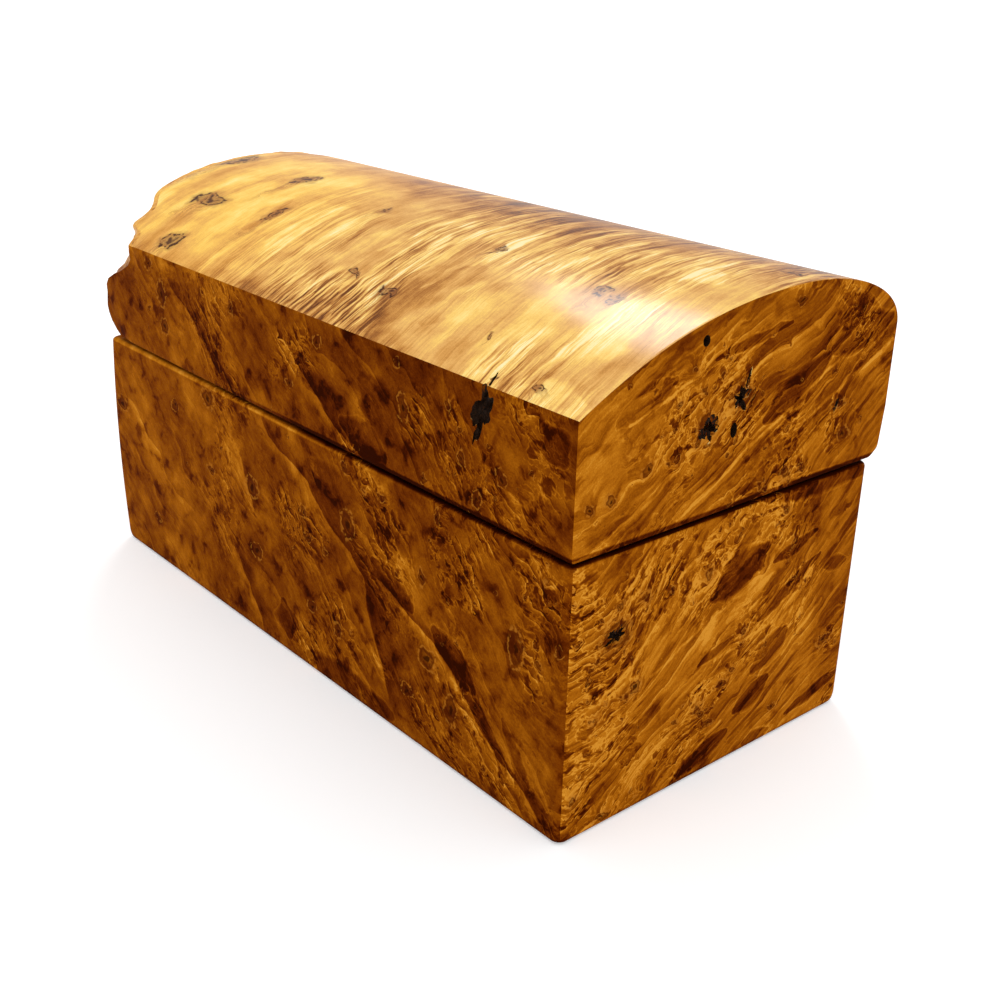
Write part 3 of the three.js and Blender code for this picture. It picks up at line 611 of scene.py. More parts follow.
def cushion_form(name, half, corner, crown, underside, levels=12):
    """A crowned cushion about the origin. half is its half size; the powers shape its outlines."""
    outline = round_ring((-half.x, -half.y), (half.x, half.y), corner, 0)
    rings = []
    for level in range(1, levels):
        rise = pi * (level / levels - 0.5)
        power = underside if rise < 0 else crown
        spread, z = cos(rise) ** power, half.z * signed_power(sin(rise), power)
        rings.append([(x * spread, y * spread, z) for x, y, _ in outline])
    return closed_rings(name, rings, first=(0, 0, -half.z), last=(0, 0, half.z))


def mesh_points(mesh):
    flat = np.empty(len(mesh.vertices) * 3)
    mesh.vertices.foreach_get("co", flat)
    return flat.reshape(-1, 3)


def swell(pad, voxel, cap, room):
    """Fills the pad as cloth under pressure. No point moves further than cap, and it fills the room."""
    pad.data.transform(Matrix.Scale(CLOTH_SCALE, 4))
    even = pad.modifiers.new("even_mesh", "REMESH")
    even.mode = "VOXEL"
    even.voxel_size = voxel * CLOTH_SCALE
    work_in(pad)
    before = mesh_points(pad.data)
    cloth = pad.modifiers.new("swell", "CLOTH")
    cloth.settings.use_pressure = True
    cloth.settings.uniform_pressure_force = CLOTH_PRESSURE
    cloth.settings.effector_weights.gravity = 0
    for number in range(1, CLOTH_FRAMES + 1):
        bpy.context.scene.frame_set(number)
    move = mesh_points(shaped_mesh(pad)) - before
    bpy.context.scene.frame_set(1)
    pad.modifiers.clear()
    travel = np.maximum(np.linalg.norm(move, axis=1, keepdims=True), NO_TRAVEL)
    move *= np.minimum(1, cap * CLOTH_SCALE / travel)
    place = (before + move) / CLOTH_SCALE
    reach = np.array(room)
    soft = np.minimum(reach * GIVE_SHARE, GIVE_LENGTH)
    beyond = np.maximum(np.abs(place) - reach + soft, 0) / soft
    place = np.sign(place) * (np.minimum(np.abs(place), reach - soft) + soft * np.tanh(beyond))
    place *= reach / np.abs(place).max(axis=0)
    pad.data.vertices.foreach_set("co", place.ravel())
    pad.modifiers.new("finer", "SUBSURF").levels = 1
    work_in(pad)


def puffed_pad(name, node, body, corner, form, cap, voxel, crown_up=True):
    low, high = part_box(node)
    room = (high - low) / 2 - Vector((PAD_CLEARANCE,) * 3)
    slack = Vector([min(cap * SLACK_OF_TRAVEL, SLACK_OF_SIZE * side) for side in room])
    pad = cushion_form(name, room - slack, corner, *form)
    swell(pad, voxel, cap, room)
    if not crown_up:
        pad.data.transform(Matrix.Rotation(pi, 4, "X"))
    pad.data.transform(Matrix.Translation((low + high) / 2))
    pad.data.shade_smooth()
    seat(pad, body, "suede", node)
    return pad


def wall_band(name, node, body):
    """A band of suede on card along the walls, with its ends meeting in a seam at the back."""
    low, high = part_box(node)
    inner, outer = (CARD_MARGIN, low.z + CARD_MARGIN), (CARD_THICKNESS - CARD_MARGIN, high.z - CARD_MARGIN)
    profile = round_ring(inner, outer, CARD_EDGE_ROUND, 0)
    back_start = 2 * (CORNER_STEPS + 1)
    turns = []
    for depth, z, _ in profile:
        ring = round_ring(low, high, CARD_CORNER, z, depth)
        y = high.y - depth
        turns.append([(-SEAM / 2, y, z)] + ring[back_start:] + ring[:back_start] + [(SEAM / 2, y, z)])
    band = closed_rings(name, list(zip(*turns)))
    smooth_shading(band)
    seat(band, body, "suede", node)
    return band


def felt_sheet(name, node):
    """The felt under the base, cut with round corners and slightly fuzzy edges."""
    low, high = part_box(node)
    rings = []
    for inset, rise in ((0.12, 0), (0.02, 0.15), (0, 0.5), (0.02, 0.85), (0.12, 1)):
        rings.append(round_ring(low, high, FELT_CORNER, blended(low.z, high.z, rise), inset * MM))
    sheet = closed_rings(name, rings)
    smooth_shading(sheet)
    seat(sheet, "base", "bottom_felt", node)
    return sheet


# Graphs of nodes

def operator(operation, turned=False):
    return lambda value, other=None: value.math(operation, other, turned)


class Value:
    """One output of a graph. Each thing that is done with it adds nodes. Lengths are millimetres."""

    def __init__(self, paint, socket):
        self.paint = paint
        self.socket = socket

    def math(self, operation, other=None, turned=False):
        sides = (other, self) if turned else (self, other)
        return self.paint.value("Math", dict(enumerate(sides)), operation=operation)

    __add__ = __radd__ = operator("ADD")
    __mul__ = __rmul__ = operator("MULTIPLY")
    __sub__, __rsub__ = operator("SUBTRACT"), operator("SUBTRACT", True)
    __truediv__, __rtruediv__ = operator("DIVIDE"), operator("DIVIDE", True)
    __pow__ = operator("POWER")
    __abs__ = operator("ABSOLUTE")

    def vector(self, operation, other=None, output=0):
        return self.paint.value("VectorMath", {0: self, 1: other}, output, operation=operation)

    def scaled(self, scale):
        return self.paint.value("VectorMath", {0: self, "Scale": scale}, operation="SCALE")

    def along(self, direction):
        return self.vector("DOT_PRODUCT", tuple(direction), 1)

    def parts(self):
        made = self.paint.node("SeparateXYZ", {0: self})
        return [Value(self.paint, socket) for socket in made.outputs]

    def line(self, low, high, start=0.0, end=1.0, kind="LINEAR"):
        """Goes from start to end as this value goes from low to high, and stays there beyond them."""
        inputs = {"Value": self, "From Min": low, "From Max": high, "To Min": start, "To Max": end}
        return self.paint.value("MapRange", inputs, interpolation_type=kind)

    def step(self, low, high, start=0.0, end=1.0):
        return self.line(low, high, start, end, "SMOOTHSTEP")

    def spread(self, start, end):
        """Goes from start to end over the range that most of a noise lies in."""
        return self.line(0.3, 0.7, start, end)

    def noise(self, size, detail=2.0, roughness=0.5, output=0):
        """Noise from 0 to 1 at this place, whose lumps are about as wide as the size."""
        inputs = {"Vector": self, "Scale": 1 / size, "Detail": detail, "Roughness": roughness}
        return self.paint.value("TexNoise", inputs, output)

    def drift(self, size, reach, detail=1.0):
        """This place, moved by up to about the reach in lumps of the size."""
        moved = self.noise(size, detail, output=1).vector("SUBTRACT", (0.5, 0.5, 0.5))
        return self.vector("ADD", moved.scaled(2 * reach))

    def cells(self, size):
        """Distance from this place to the nearest of scattered points, and that point's own colour."""
        made = self.paint.node("TexVoronoi", {"Vector": self, "Scale": 1 / size})
        return Value(self.paint, made.outputs["Distance"]) * size, Value(self.paint, made.outputs["Color"])

    def ramp(self, stops, mode="LINEAR"):
        made = self.paint.node("ValToRGB", {0: self})
        elements = made.color_ramp.elements
        made.color_ramp.interpolation = mode
        while len(elements) < len(stops):
            elements.new(0.5)
        for element, (position, colour) in zip(elements, stops):
            element.position = position
            element.color = (*colour, 1)
        return Value(self.paint, made.outputs[0])

    def mixed(self, a, b):
        """Colour a, or colour b where this share is 1."""
        return self.paint.mixed(self, a, b)

    def tinted(self, tint, share=1.0):
        """This colour, times the tint where the share is 1."""
        return self.paint.mixed(share, self, tint, "MULTIPLY")

    def bump(self, depth):
        """Relief of the given depth, with this as its height from 0 to 1."""
        return self.paint.value("Bump", {"Strength": 1.0, "Distance": depth * MM, "Height": self})


class Paint:
    """Builds one material's graph over the places of the part's frame."""

    def __init__(self, name):
        self.material = bpy.data.materials.new(name)
        self.material.use_nodes = True
        self.tree = self.material.node_tree
        self.tree.nodes.clear()
        self.place = self.value("TexCoord", output="Object").scaled(1 / MM)
        self.x, self.y, self.z = self.place.parts()

    def node(self, kind, inputs=(), **settings):
        made = self.tree.nodes.new("ShaderNode" + kind)
        for key, value in settings.items():
            setattr(made, key, value)
        for key, value in dict(inputs).items():
            if isinstance(value, Value):
                self.tree.links.new(value.socket, made.inputs[key])
            elif value is not None:
                made.inputs[key].default_value = value
        return made

    def value(self, kind, inputs=(), output=0, **settings):
        return Value(self, self.node(kind, inputs, **settings).outputs[output])

    def mixed(self, share, a, b, blend="MIX"):
        inputs = {0: share, 6: solid(a), 7: solid(b)}
        return self.value("Mix", inputs, 2, data_type="RGBA", blend_type=blend)

    def finish(self, colour, roughness, normal=None, **constants):
        inputs = {"Base Color": solid(colour), "Roughness": roughness, "Normal": normal}
        inputs.update({key.replace("_", " "): value for key, value in constants.items()})
        shader = self.node("BsdfPrincipled", inputs)
        output = self.node("OutputMaterial")
        self.tree.links.new(shader.outputs[0], output.inputs[0])
        return self.material


def grain(parts, sizes, detail=2.0, roughness=0.5):
    """Noise whose lumps have a size of their own along each of the directions."""
    place = {axis: part / size for axis, (part, size) in enumerate(zip(parts, sizes))}
    return parts[0].paint.value("CombineXYZ", place).noise(1, detail, roughness)


def solid(colour):
    return (*colour, 1) if isinstance(colour, tuple) and len(colour) == 3 else colour


def unit(*parts):
    return Vector(parts).normalized()


# Burl wood

# The layers of the block: the bands of front and end are their cuts
LAYER = unit(0.9, -0.63, 1)
LAYER_ALONG_FRONT = unit(1, 0, -0.9)
LAYER_DOWN = LAYER.cross(LAYER_ALONG_FRONT)
# The streaks of the dome run this way from front to back
STREAK = unit(-0.12, 1, 0)
STREAK_ACROSS = unit(1, 0.12, 0)


def tone(red, green, blue, light=1.12):
    """The surface colour that the studio's light shows as this display colour."""
    shares = [value / 255 for value in (red, green, blue)]
    return tuple((s / 12.92 if s < 0.04 else ((s + 0.055) / 1.055) ** 2.4) / light for s in shares)


AMBER_STOPS = (
    (0, tone(46, 11, 0)), (0.12, tone(67, 20, 0)), (0.24, tone(86, 32, 1)), (0.36, tone(105, 46, 3)),
    (0.46, tone(120, 58, 4)), (0.56, tone(136, 71, 5)), (0.66, tone(152, 84, 8)), (0.76, tone(169, 98, 14)),
    (0.86, tone(185, 113, 21)), (1, tone(207, 138, 42)),
)
HONEY_STOPS = (
    (0, tone(108, 58, 22)), (0.2, tone(168, 106, 44)), (0.4, tone(210, 150, 74)),
    (0.55, tone(229, 174, 98)), (0.7, tone(248, 202, 106)), (0.85, tone(254, 220, 134)),
    (1, tone(255, 236, 178)),
)
EYE_CORE = tone(42, 11, 1)
# So low that no white haze lies on the faces that are seen at a slant
GRAZING_SPECULAR = 0.0012
BARK = (0.006, 0.004, 0.0025)

# Eyes of the burl that stand out: place along the face, height, half width and half height in millimetres
FRONT_EYES = (
    (47.6, 84, 1.5, 2.4), (24.4, 62.3, 1.2, 1.5), (25, 48, 2.2, 3), (54, 45.5, 1.1, 1.9),
    (73.3, 71, 1.2, 1.7), (45.2, 93.5, 0.9, 1), (68, 78.4, 1, 1.5), (80.5, 77.9, 1.3, 1.6),
    (7.6, 19, 1.7, 1.5), (19.6, 16.9, 1.4, 1.9), (48.4, 13.6, 1.5, 1.2), (56.4, 25.4, 2.6, 2.2),
    (65.1, 16, 1.6, 3.4), (86.8, 41.5, 2, 3.6), (99.6, 46.4, 0.8, 1.6), (55, 69, 1, 1), (5, 44.6, 1.2, 1.5),
    (6.8, 38.4, 1.2, 1.2), (-18.8, 24.8, 2.2, 1.7), (1, 77.4, 1.4, 1), (-70.8, 93.6, 1.9, 1.6),
    (-95.6, 45.6, 3.2, 1.7), (59.9, 62.5, 0.7, 1.9), (-64, 86, 1.9, 2.9), (-63.6, 77, 2.1, 1.8),
    (-77.6, 14.4, 1.6, 1.2), (-61, 54.4, 1.5, 1.4), (-42, 41.4, 1.7, 1.3), (-20, 43, 2.6, 2.4),
    (-26, 90, 1, 1.4), (-41, 62, 2.6, 2.2), (14, 90.6, 1.4, 1.2),
)
END_EYES = (
    (-28, 31.8, 1.7, 1.3), (-34.6, 46.8, 3.6, 2.8), (-2.4, 13.2, 1.6, 0.9), (1, 22, 1.5, 0.9),
    (-5.4, 17, 1, 1), (39.4, 20.8, 2.6, 1.2), (21.6, 8.8, 1.5, 0.9), (-44.5, 77, 1, 1),
    (-38.4, 77.6, 1.4, 1.1), (32.5, 83.6, 2.4, 0.9), (36, 75.5, 1.8, 1.2), (16, 71.5, 0.9, 0.8),
    (22, 70.6, 1, 0.8), (-36, 2.4, 1.6, 1), (-28.8, 82, 1.2, 1), (-14, 17.6, 1, 0.8),
    (-11.4, 87.4, 2.7, 2.6), (-1.6, 92, 2.7, 2.5), (15.4, 109.6, 1.6, 0.8), (30, 91.6, 0.6, 0.5),
)
# Bands that stand out: the two ends of each along the face and in height, half width, and how much lighter
FRONT_BANDS = (
    (35.6, 42, 50, 36, 3.4, -0.23), (59, 34, 73, 25, 3.6, -0.29), (-6, 14, -4, 6, 5, -0.2),
    (6, 4, 42, 3, 4, -0.2), (76, 24, 87.5, 11, 1.3, 0.25), (83, 22, 92, 10, 1.6, -0.17),
    (80, 5, 92, 4, 2, -0.12), (24, 74, 40, 70, 4, -0.17), (33, 86, 46, 75, 7, -0.14),
    (94, 92, 99, 87, 4, -0.23), (8, 58, 40, 52, 5, -0.14), (57, 72, 56, 68, 1.6, 0.18),
    (-5, 35.6, 11, 33.6, 0.7, -0.17), (36, 57, 47, 51, 9, -0.26), (-24, 90, -9, 74, 9, -0.15),
    (-78, 86, -44, 72, 9, 0.09), (-84, 56, -86, 16, 10, 0.07), (22, 90, 31, 86, 8, -0.16),
    (-26, 40, -24, 18, 8, -0.13), (38, 22, 46, 18, 8, 0.12), (92, 73, 97, 67, 8, -0.12),
    (73, 25, 81, 14, 8, -0.1),
)
END_BANDS = (
    (7, 85, 27, 95.5, 3.4, -0.38), (29, 97, 49, 101, 3.8, -0.32), (-11, 101.4, 13, 105.6, 1.2, -0.32),
    (-38, 93.6, -23, 99.2, 2.6, -0.17), (-4, 46, 12, 53.4, 4.6, -0.28), (11, 65.4, 48, 64.4, 2.6, -0.26),
    (16, 48.6, 31, 52.4, 1.5, -0.32), (12.7, 35, 33, 46, 1.6, -0.38), (-8, 30, 4, 33.3, 1.1, -0.29),
    (36, 41.6, 44, 41.6, 1.8, -0.23), (13, 22, 23, 29, 3.6, -0.29), (7, 12.6, 17.5, 17.6, 3.4, -0.35),
    (-12, 3, 4.5, 8, 2.4, -0.35), (27, 4, 47, 9.4, 1.6, -0.32), (-31.4, 15, -25.6, 16, 2.6, -0.23),
    (11, 1.6, 21, 2.6, 1.8, -0.29), (30, 109, 44, 103, 2, -0.2), (26, 66, 30, 60, 3, -0.14),
    (-19, 68.3, 31, 94.2, 0.4, 0.28), (-17, 67.4, 20, 85.6, 0.4, -0.2), (18, 80.6, 50, 94.4, 0.5, 0.22),
    (-34.4, 92.4, -18, 98.3, 0.35, 0.25), (28, 98.6, 35.5, 109.5, 0.5, 0.2),
    (-7.6, 48.4, 4, 58.4, 0.4, 0.28), (-23, 32.7, -7.3, 40.4, 0.4, 0.2), (-2, 29.6, 17.4, 32.7, 0.45, 0.22),
    (17.4, 32.7, 31, 42.8, 0.45, 0.25), (22.7, 22.7, 36.2, 32.7, 0.45, 0.25),
    (-14, 2.8, 2, 11.6, 0.4, 0.22), (-11.4, 16.8, -5, 24.5, 0.3, 0.2), (1.5, 38.6, 16.2, 45.2, 2.8, 0.15),
    (14, 68, 16, 56, 0.4, 0.2), (-7, 88.4, -6.9, 88.4, 0.4, 0.62), (14, 108, 36, 105, 8, -0.2),
    (-38, 83, -12, 97, 8, -0.13), (34, 90, 34, 76, 8, -0.16), (22, 69, 34, 32, 8, -0.15),
    (44, 64, 44, 8, 9, -0.2), (-6, 46, 8, 43, 8, -0.14), (-44, 9, -29, 4, 8, -0.15),
)
# Where small curls crowd, as bands are given
FRONT_CROWDS = (
    (60, 57, 72, 47, 10, 1), (65, 88, 78, 72, 8, 1), (90, 62, 101, 54, 7, 1), (48, 12, 62, 8, 5, 0.7),
    (-3, 90, 14, 86, 7, 0.8), (92, 20, 98, 8, 5, 0.6), (88, 46, 92, 34, 5, 0.6),
    (-90, 50, -46, 30, 40, -0.6),
)
END_CROWDS = (
    (-46, 62, -44, 8, 12, 1), (-30, 58, -14, 52, 10, 1), (-20, 10, 0, 22, 7, 0.9), (-10, 86, 2, 90, 11, 1),
    (32, 84, 40, 70, 7, 1), (14, 70, 24, 69, 4, 0.8), (24, 10, 44, 22, 6, 0.6), (-46, 72, -24, 68, 6, 0.8),
)
# Edges of growth layers on the front: reach and strength of the light below each, then of the dark above
# it, and its points
FRONT_EDGES = (
    (12, 0.13, 9, 0.2, ((-61, 92), (-54, 87), (-47.6, 83), (-41.8, 77.4), (-36, 72.3), (-31, 67.8))),
    (8, 0.14, 15, 0.26, (
        (-13.7, 64.8), (-9.8, 60.2), (-4.7, 57.6), (0.4, 56.8), (6.8, 53.8), (11.9, 49.3), (17.7, 44.8),
        (24.7, 41), (29.8, 37.8), (32, 35), (32.6, 28.8), (35, 23), (38.2, 16.6), (41, 8),
    )),
    (6, 0.14, 15, 0.28, ((3, 85), (11.9, 78), (16.4, 74.2), (21.5, 71), (27.3, 68.5), (32, 66.9))),
    (5, 0.2, 8, 0.26, (
        (29.8, 39), (38.8, 38), (50.3, 33.6), (58, 31), (64.4, 26.9), (70.8, 21.1), (77.2, 15.4),
        (83.6, 10.9), (90, 8), (96.4, 2.6),
    )),
    (8, 0.13, 9, 0.24, ((-29.7, 20.5), (-25.2, 14), (-20.7, 8.3), (-16.9, 1.3))),
    (5, 0.12, 7, 0.22, ((-25.2, 51.2), (-23.3, 46), (-21.4, 41), (-19.4, 35.8))),
    (1.6, 0.16, 3, 0.03, ((61.8, 92.2), (63.1, 87.7), (61.8, 83.2), (63.1, 78), (65, 73.6), (67.6, 69))),
    (3, 0.03, 1.6, 0.16, ((79, 88), (77, 82), (78, 77), (82, 72), (86, 69))),
)
PLANE_SPOTS = {"front": (0, 2), "end": (1, 2), "top": (0, 1)}


def spot(plane, s, t):
    """A face's own two coordinates as a place in the part's frame."""
    place = [0.0, 0.0, 0.0]
    for axis, value in zip(PLANE_SPOTS[plane], (s, t)):
        place[axis] = value
    return Vector(place)


def nearest_eye(place, eyes, plane):
    """Distance to the nearest named eye, where 1 is its rim."""
    nearest = None
    for s, t, wide, high in eyes:
        away = place.vector("SUBTRACT", tuple(spot(plane, s, t)))
        away = away.vector("MULTIPLY", tuple(spot(plane, 1 / wide, 1 / high))).vector("LENGTH", output=1)
        nearest = away if nearest is None else nearest.math("MINIMUM", away)
    return nearest


def scattered_eyes(place, size, largest, crowds):
    """Distance to the nearest scattered eye, where 1 is its rim. Most cells hold a very small one."""
    away, colour = place.cells(size)
    return away / ((colour.parts()[0] ** 4.0) * crowds * largest + 0.1)


def named_bands(place, bands, plane):
    """How much lighter or darker the named bands make each place. The widest are soft fields."""
    flat = place.vector("MULTIPLY", tuple(spot(plane, 1, 1)))
    total = 0.0
    for s, t, s_end, t_end, reach, strength in bands:
        start = spot(plane, s, t)
        whole = spot(plane, s_end, t_end) - start
        scaled_way = whole / whole.length_squared
        share = flat.along(scaled_way) - start.dot(scaled_way)
        share.socket.node.use_clamp = True
        inputs = {0: share, 1: tuple(whole), 2: tuple(start)}
        foot = place.paint.value("VectorMath", inputs, operation="MULTIPLY_ADD")
        away = flat.vector("DISTANCE", foot, output=1)
        if reach < 1:
            total = away.step(1.6 * reach, 0.4 * reach, 0.0, strength) + total
            continue
        middle = share - 0.5
        away = away / (1 - middle * middle * 2.6)
        soft = 0.2 if reach < 8 else 0.75
        total = away.step((1 + soft) * reach, (1 - soft) * reach, 0.0, strength) + total
        if strength < -0.15 and reach < 8:
            rim = away.step(1.45 * reach, 1.3 * reach) * away.step(1.15 * reach, 1.3 * reach)
            total = rim * 0.1 + total
    return total


def growth_edges(place, edges):
    """Edges of curved layers: the wood brightens up to each one and is dark beyond it."""
    x, _, z = place.parts()
    total = 0.0
    for light_reach, light, dark_reach, dark, points in edges:
        curve = [(t / 100, ((s + 110) / 220,) * 3) for s, t in reversed(points)]
        away = (x - (z / 100).ramp(curve, "CARDINAL") * 220 + 110) * 0.75
        low, high = points[-1][1], points[0][1]
        inside = z.step(low - 3, low + 3) * z.step(high + 3, high - 4)
        beyond = away.step(-0.25, 0.3)
        pale = away.step(-light_reach, -0.2, 0.0, light) * (1 - beyond)
        deep = away.step(dark_reach, 0.4, 0.0, dark) * beyond
        total = (pale - deep) * inside + total
    return total


def folds(block, period, stretch, wander):
    """Growth layers that brighten slowly and then end at a hard edge with a pale rim."""
    shift = grain(block, (2.6 * period, stretch * period, stretch * period), 2, 0.55)
    saw = (block[0] / period + shift * wander).math("FRACT")
    fade = grain(block, (3.1 * period, 4.96 * period, 4.96 * period), 1).step(0.4, 0.58)
    rim = saw.step(0.84, 0.97) * fade
    return (saw - 0.5) * fade + rim * 0.4


# A face's figure: how far it wanders, the periods of its folds in millimetres and their strengths, how
# long its layers run, and the strengths of its other marks. Calm is how busy its left end is.
FRONT_FIGURE = {
    "drift": 1.9, "folds": ((11, 0.14), (2.6, 0.4)), "stretch": 2.6, "wander": 1.6, "calm": 0.25,
    "wide": 0.8, "streak": 0.16, "smudge": 0.64, "blot": 0.2, "worm": 0.27, "outline": 0.2,
}
END_FIGURE = {
    "drift": 1.0, "folds": ((11, 0.2), (4.3, 0.22), (1.7, 0.4)), "stretch": 9, "wander": 1.0, "calm": 1.0,
    "wide": 0.7, "streak": 0.55, "smudge": 0.2, "blot": 0.14, "worm": 0.36, "outline": 0.26,
}


def burl(paint, eyes, bands, crowds, edges, plane, figure):
    """The burl of front and end: layers, strokes and eyes, as a shade about 0."""
    place = paint.place.drift(44, 7).drift(9, figure["drift"], 2)
    ragged = paint.place.drift(4, 1.6, 2).drift(1.3, 0.9, 3)
    wandering = paint.place.drift(7, 1.3, 3)
    crowded = paint.place.noise(25, 2)
    if crowds:
        crowds = named_bands(paint.place.drift(9, 5, 3), crowds, plane)
        crowded = crowded + crowds * 0.16 - 0.03
    calm = paint.x.step(-80, -5, figure["calm"], 1.0)
    busy = crowded.step(0.42, 0.62) * calm
    eye = scattered_eyes(ragged, 8.0, 2.0, (busy * 0.7 + 0.3) * (calm * 0.4 + 0.6))
    eye = eye.math("MINIMUM", scattered_eyes(ragged, 3.2, 0.7, busy))
    if eyes:
        eye = eye.math("MINIMUM", nearest_eye(ragged, eyes, plane))
    swirl = 2.4 / (eye * eye * 0.25 + 1.0)
    block = (place.along(LAYER) + swirl, place.along(LAYER_ALONG_FRONT), place.along(LAYER_DOWN))

    def stretched(across, length, detail, roughness=0.6):
        return grain(block, (across, length, length), detail, roughness)

    shade = (stretched(15, 50, 2, 0.5) - 0.5) * figure["wide"]
    lively = busy * 0.88 + 0.12
    for period, strength in figure["folds"]:
        fold = folds(block, period, figure["stretch"], figure["wander"])
        shade = shade + fold * (lively * strength if period < 3 else strength)
    smudge = paint.place.drift(5, 2).noise(5.5, 3, 0.5)
    blot = paint.place.drift(3, 1.2).noise(3.0, 2).step(0.42, 0.26) * (busy * 0.5 + calm * 0.5)
    shade = shade + (smudge - 0.5) * figure["smudge"] - (smudge.step(0.44, 0.3) + blot) * figure["blot"]
    streak = stretched(0.9, 13, 2, 0.65)
    dark_streak = stretched(2.4, 17, 2).step(0.47, 0.37)
    shade = shade + (streak - 0.5 - dark_streak * 0.4) * figure["streak"]
    worm = stretched(1.5, 3.3, 2)
    dark_worm = worm.step(0.46, 0.37)
    outline = abs(worm - 0.49).step(0.035, 0.012)
    shade = shade + lively * (outline * figure["outline"] - dark_worm * figure["worm"]) + busy * 0.04
    fibre = stretched(0.24, 3.0, 2)
    # Fine speckle: the wood's own flecks, with a painted sheen of its fibres.
    speckle = paint.place.noise(0.35, 2, 0.7)
    shade = shade + (fibre - 0.5) * 0.14 + (speckle - 0.5) * 0.3
    if bands:
        shade = shade + named_bands(wandering, bands, plane)
    if edges:
        shade = shade + growth_edges(wandering, edges)
    return shade, eye, fibre, worm


def eye_colours(paint, colour, eye):
    """Adds the eyes: a reddish halo, a broken pale rim, a dark ring and a dark core."""
    halo = eye.step(2.6, 0.9) * 0.5
    colour = colour.tinted((0.55, 0.4, 0.4), halo)
    broken = paint.place.noise(1.1, 1).step(0.4, 0.54)
    rim = eye.step(1.05, 1.2) * eye.step(1.55, 1.3) * broken * 0.5
    colour = rim.mixed(colour, tone(182, 114, 32))
    ring = eye.step(1.15, 0.9) * (1 - eye.step(0.85, 0.6) * 0.5) * 0.75
    colour = ring.mixed(colour, tone(76, 27, 3))
    return (eye.step(0.5, 0.2) * 0.85).mixed(colour, EYE_CORE)


def amber_burl(name, plane, level, figure, eyes=(), bands=(), crowds=(), edges=()):
    """Front and end: deep amber with dark bands and many eyes."""
    paint = Paint(name)
    shade, eye, fibre, worm = burl(paint, eyes, bands, crowds, edges, plane, figure)
    on_lid = paint.z.step(BASE_TOP / MM - 4, LID_BOTTOM / MM + 4)
    if plane == "front":
        # Painted highlight: a pale line along the base's top arris, strongest at the left, where the
        # rounded edge would catch the light from above.
        rim = abs(paint.z - BASE_TOP / MM + 0.4).step(0.8, 0.3) * paint.x.step(60, -10)
        # Painted highlight: paler wood just below the lid's shoulder at the left, softening the turn from
        # the bright dome to the darker front.
        shoulder = paint.z.step(SHOULDER_MM - 7, SHOULDER_MM) * paint.x.step(20, -70)
        shade = shade + paint.x.step(50, -50, -0.05, 0.05) - on_lid * 0.09 + rim * 0.3 + shoulder * 0.2
    else:
        shade = shade - on_lid * paint.y.step(-25, 8) * 0.09
    # Painted shade along the seam: a dark line on the lid's lower edge, growing towards the right.
    seam = abs(paint.z - LID_BOTTOM / MM).step(1.5, 0.9)
    # Painted shade at the foot: the lowest 1.6 mm darken, as contact shade where the box meets the floor;
    # the seam shade is taken off here too.
    shade = shade - paint.z.step(1.6, 0.4) * 0.3 - seam * paint.x.step(-50, 20) * 0.5
    colour = eye_colours(paint, (shade + level).ramp(AMBER_STOPS), eye)
    relief = (fibre * 0.4 + worm * 0.6 + eye.step(0.4, 1.0)).bump(0.05)
    return paint.finish(colour, worm.spread(0.42, 0.28), relief, Specular_IOR_Level=GRAZING_SPECULAR)


# Knots of the dome, as eyes are given, but along X and Y
DOME_KNOTS = (
    (-65.2, 0.6, 2.8, 4.4), (-18.2, -6, 2.6, 1.2), (-79.6, -23.4, 6.4, 2.8), (-46.4, -22.6, 1.8, 3.6),
    (-67.8, -42.4, 4.2, 2.8), (-106, 2, 5, 6), (72.4, -14.8, 2.4, 2.2), (78, -16.2, 1.2, 1.8),
    (64, -36.4, 0.8, 0.8), (75.3, -45.8, 0.7, 0.8), (87.8, -45.6, 0.8, 0.8), (23.6, -36.8, 2.6, 1.6),
    (32.4, -9.4, 0.7, 3), (8, -33.4, 2.2, 0.8), (95, 21, 2.4, 1.4),
)
# Broad tan and pale fields of the dome, as bands are given, but along X and Y
DOME_BANDS = (
    (28, -46, 38, -20, 7, -0.14), (-10, -22, -4, 4, 4, -0.12), (30, 8, 60, 14, 9, -0.14),
    (-30, 14, 10, 12, 8, -0.13), (-70, 12, -40, 22, 9, -0.1), (80, 8, 90, 2, 4, 0.14),
    (60, -44, 92, -30, 8, 0.08), (-34, -44, -30, -10, 4, 0.1), (4, -24, 6, 6, 1.6, 0.16),
    (17, -28, 19, 2, 1.7, 0.18), (-100, -30, -60, -12, 14, 0.06), (44, -40, 50, -22, 4, -0.1),
    (-52, -14, -48, -30, 4, -0.1), (31, -30, 34, 0, 1.5, 0.16), (-24, -49, 46, -49, 8, -0.26),
    (12, -40, 13, -20, 0.9, -0.16), (25, -42, 24, -24, 1, -0.18), (-72, -10, -66, -32, 10, 0.1),
    (-70, 6, -28, 4, 9, 0.07), (84, -47, 100, -46, 5, 0.14), (40, -30, 94, -31, 9, 0.18),
    (10, 14, 44, 12, 9, -0.14), (46, -12, 66, -13, 9, 0.14), (-20, -33, -12, -27, 8, -0.08),
)


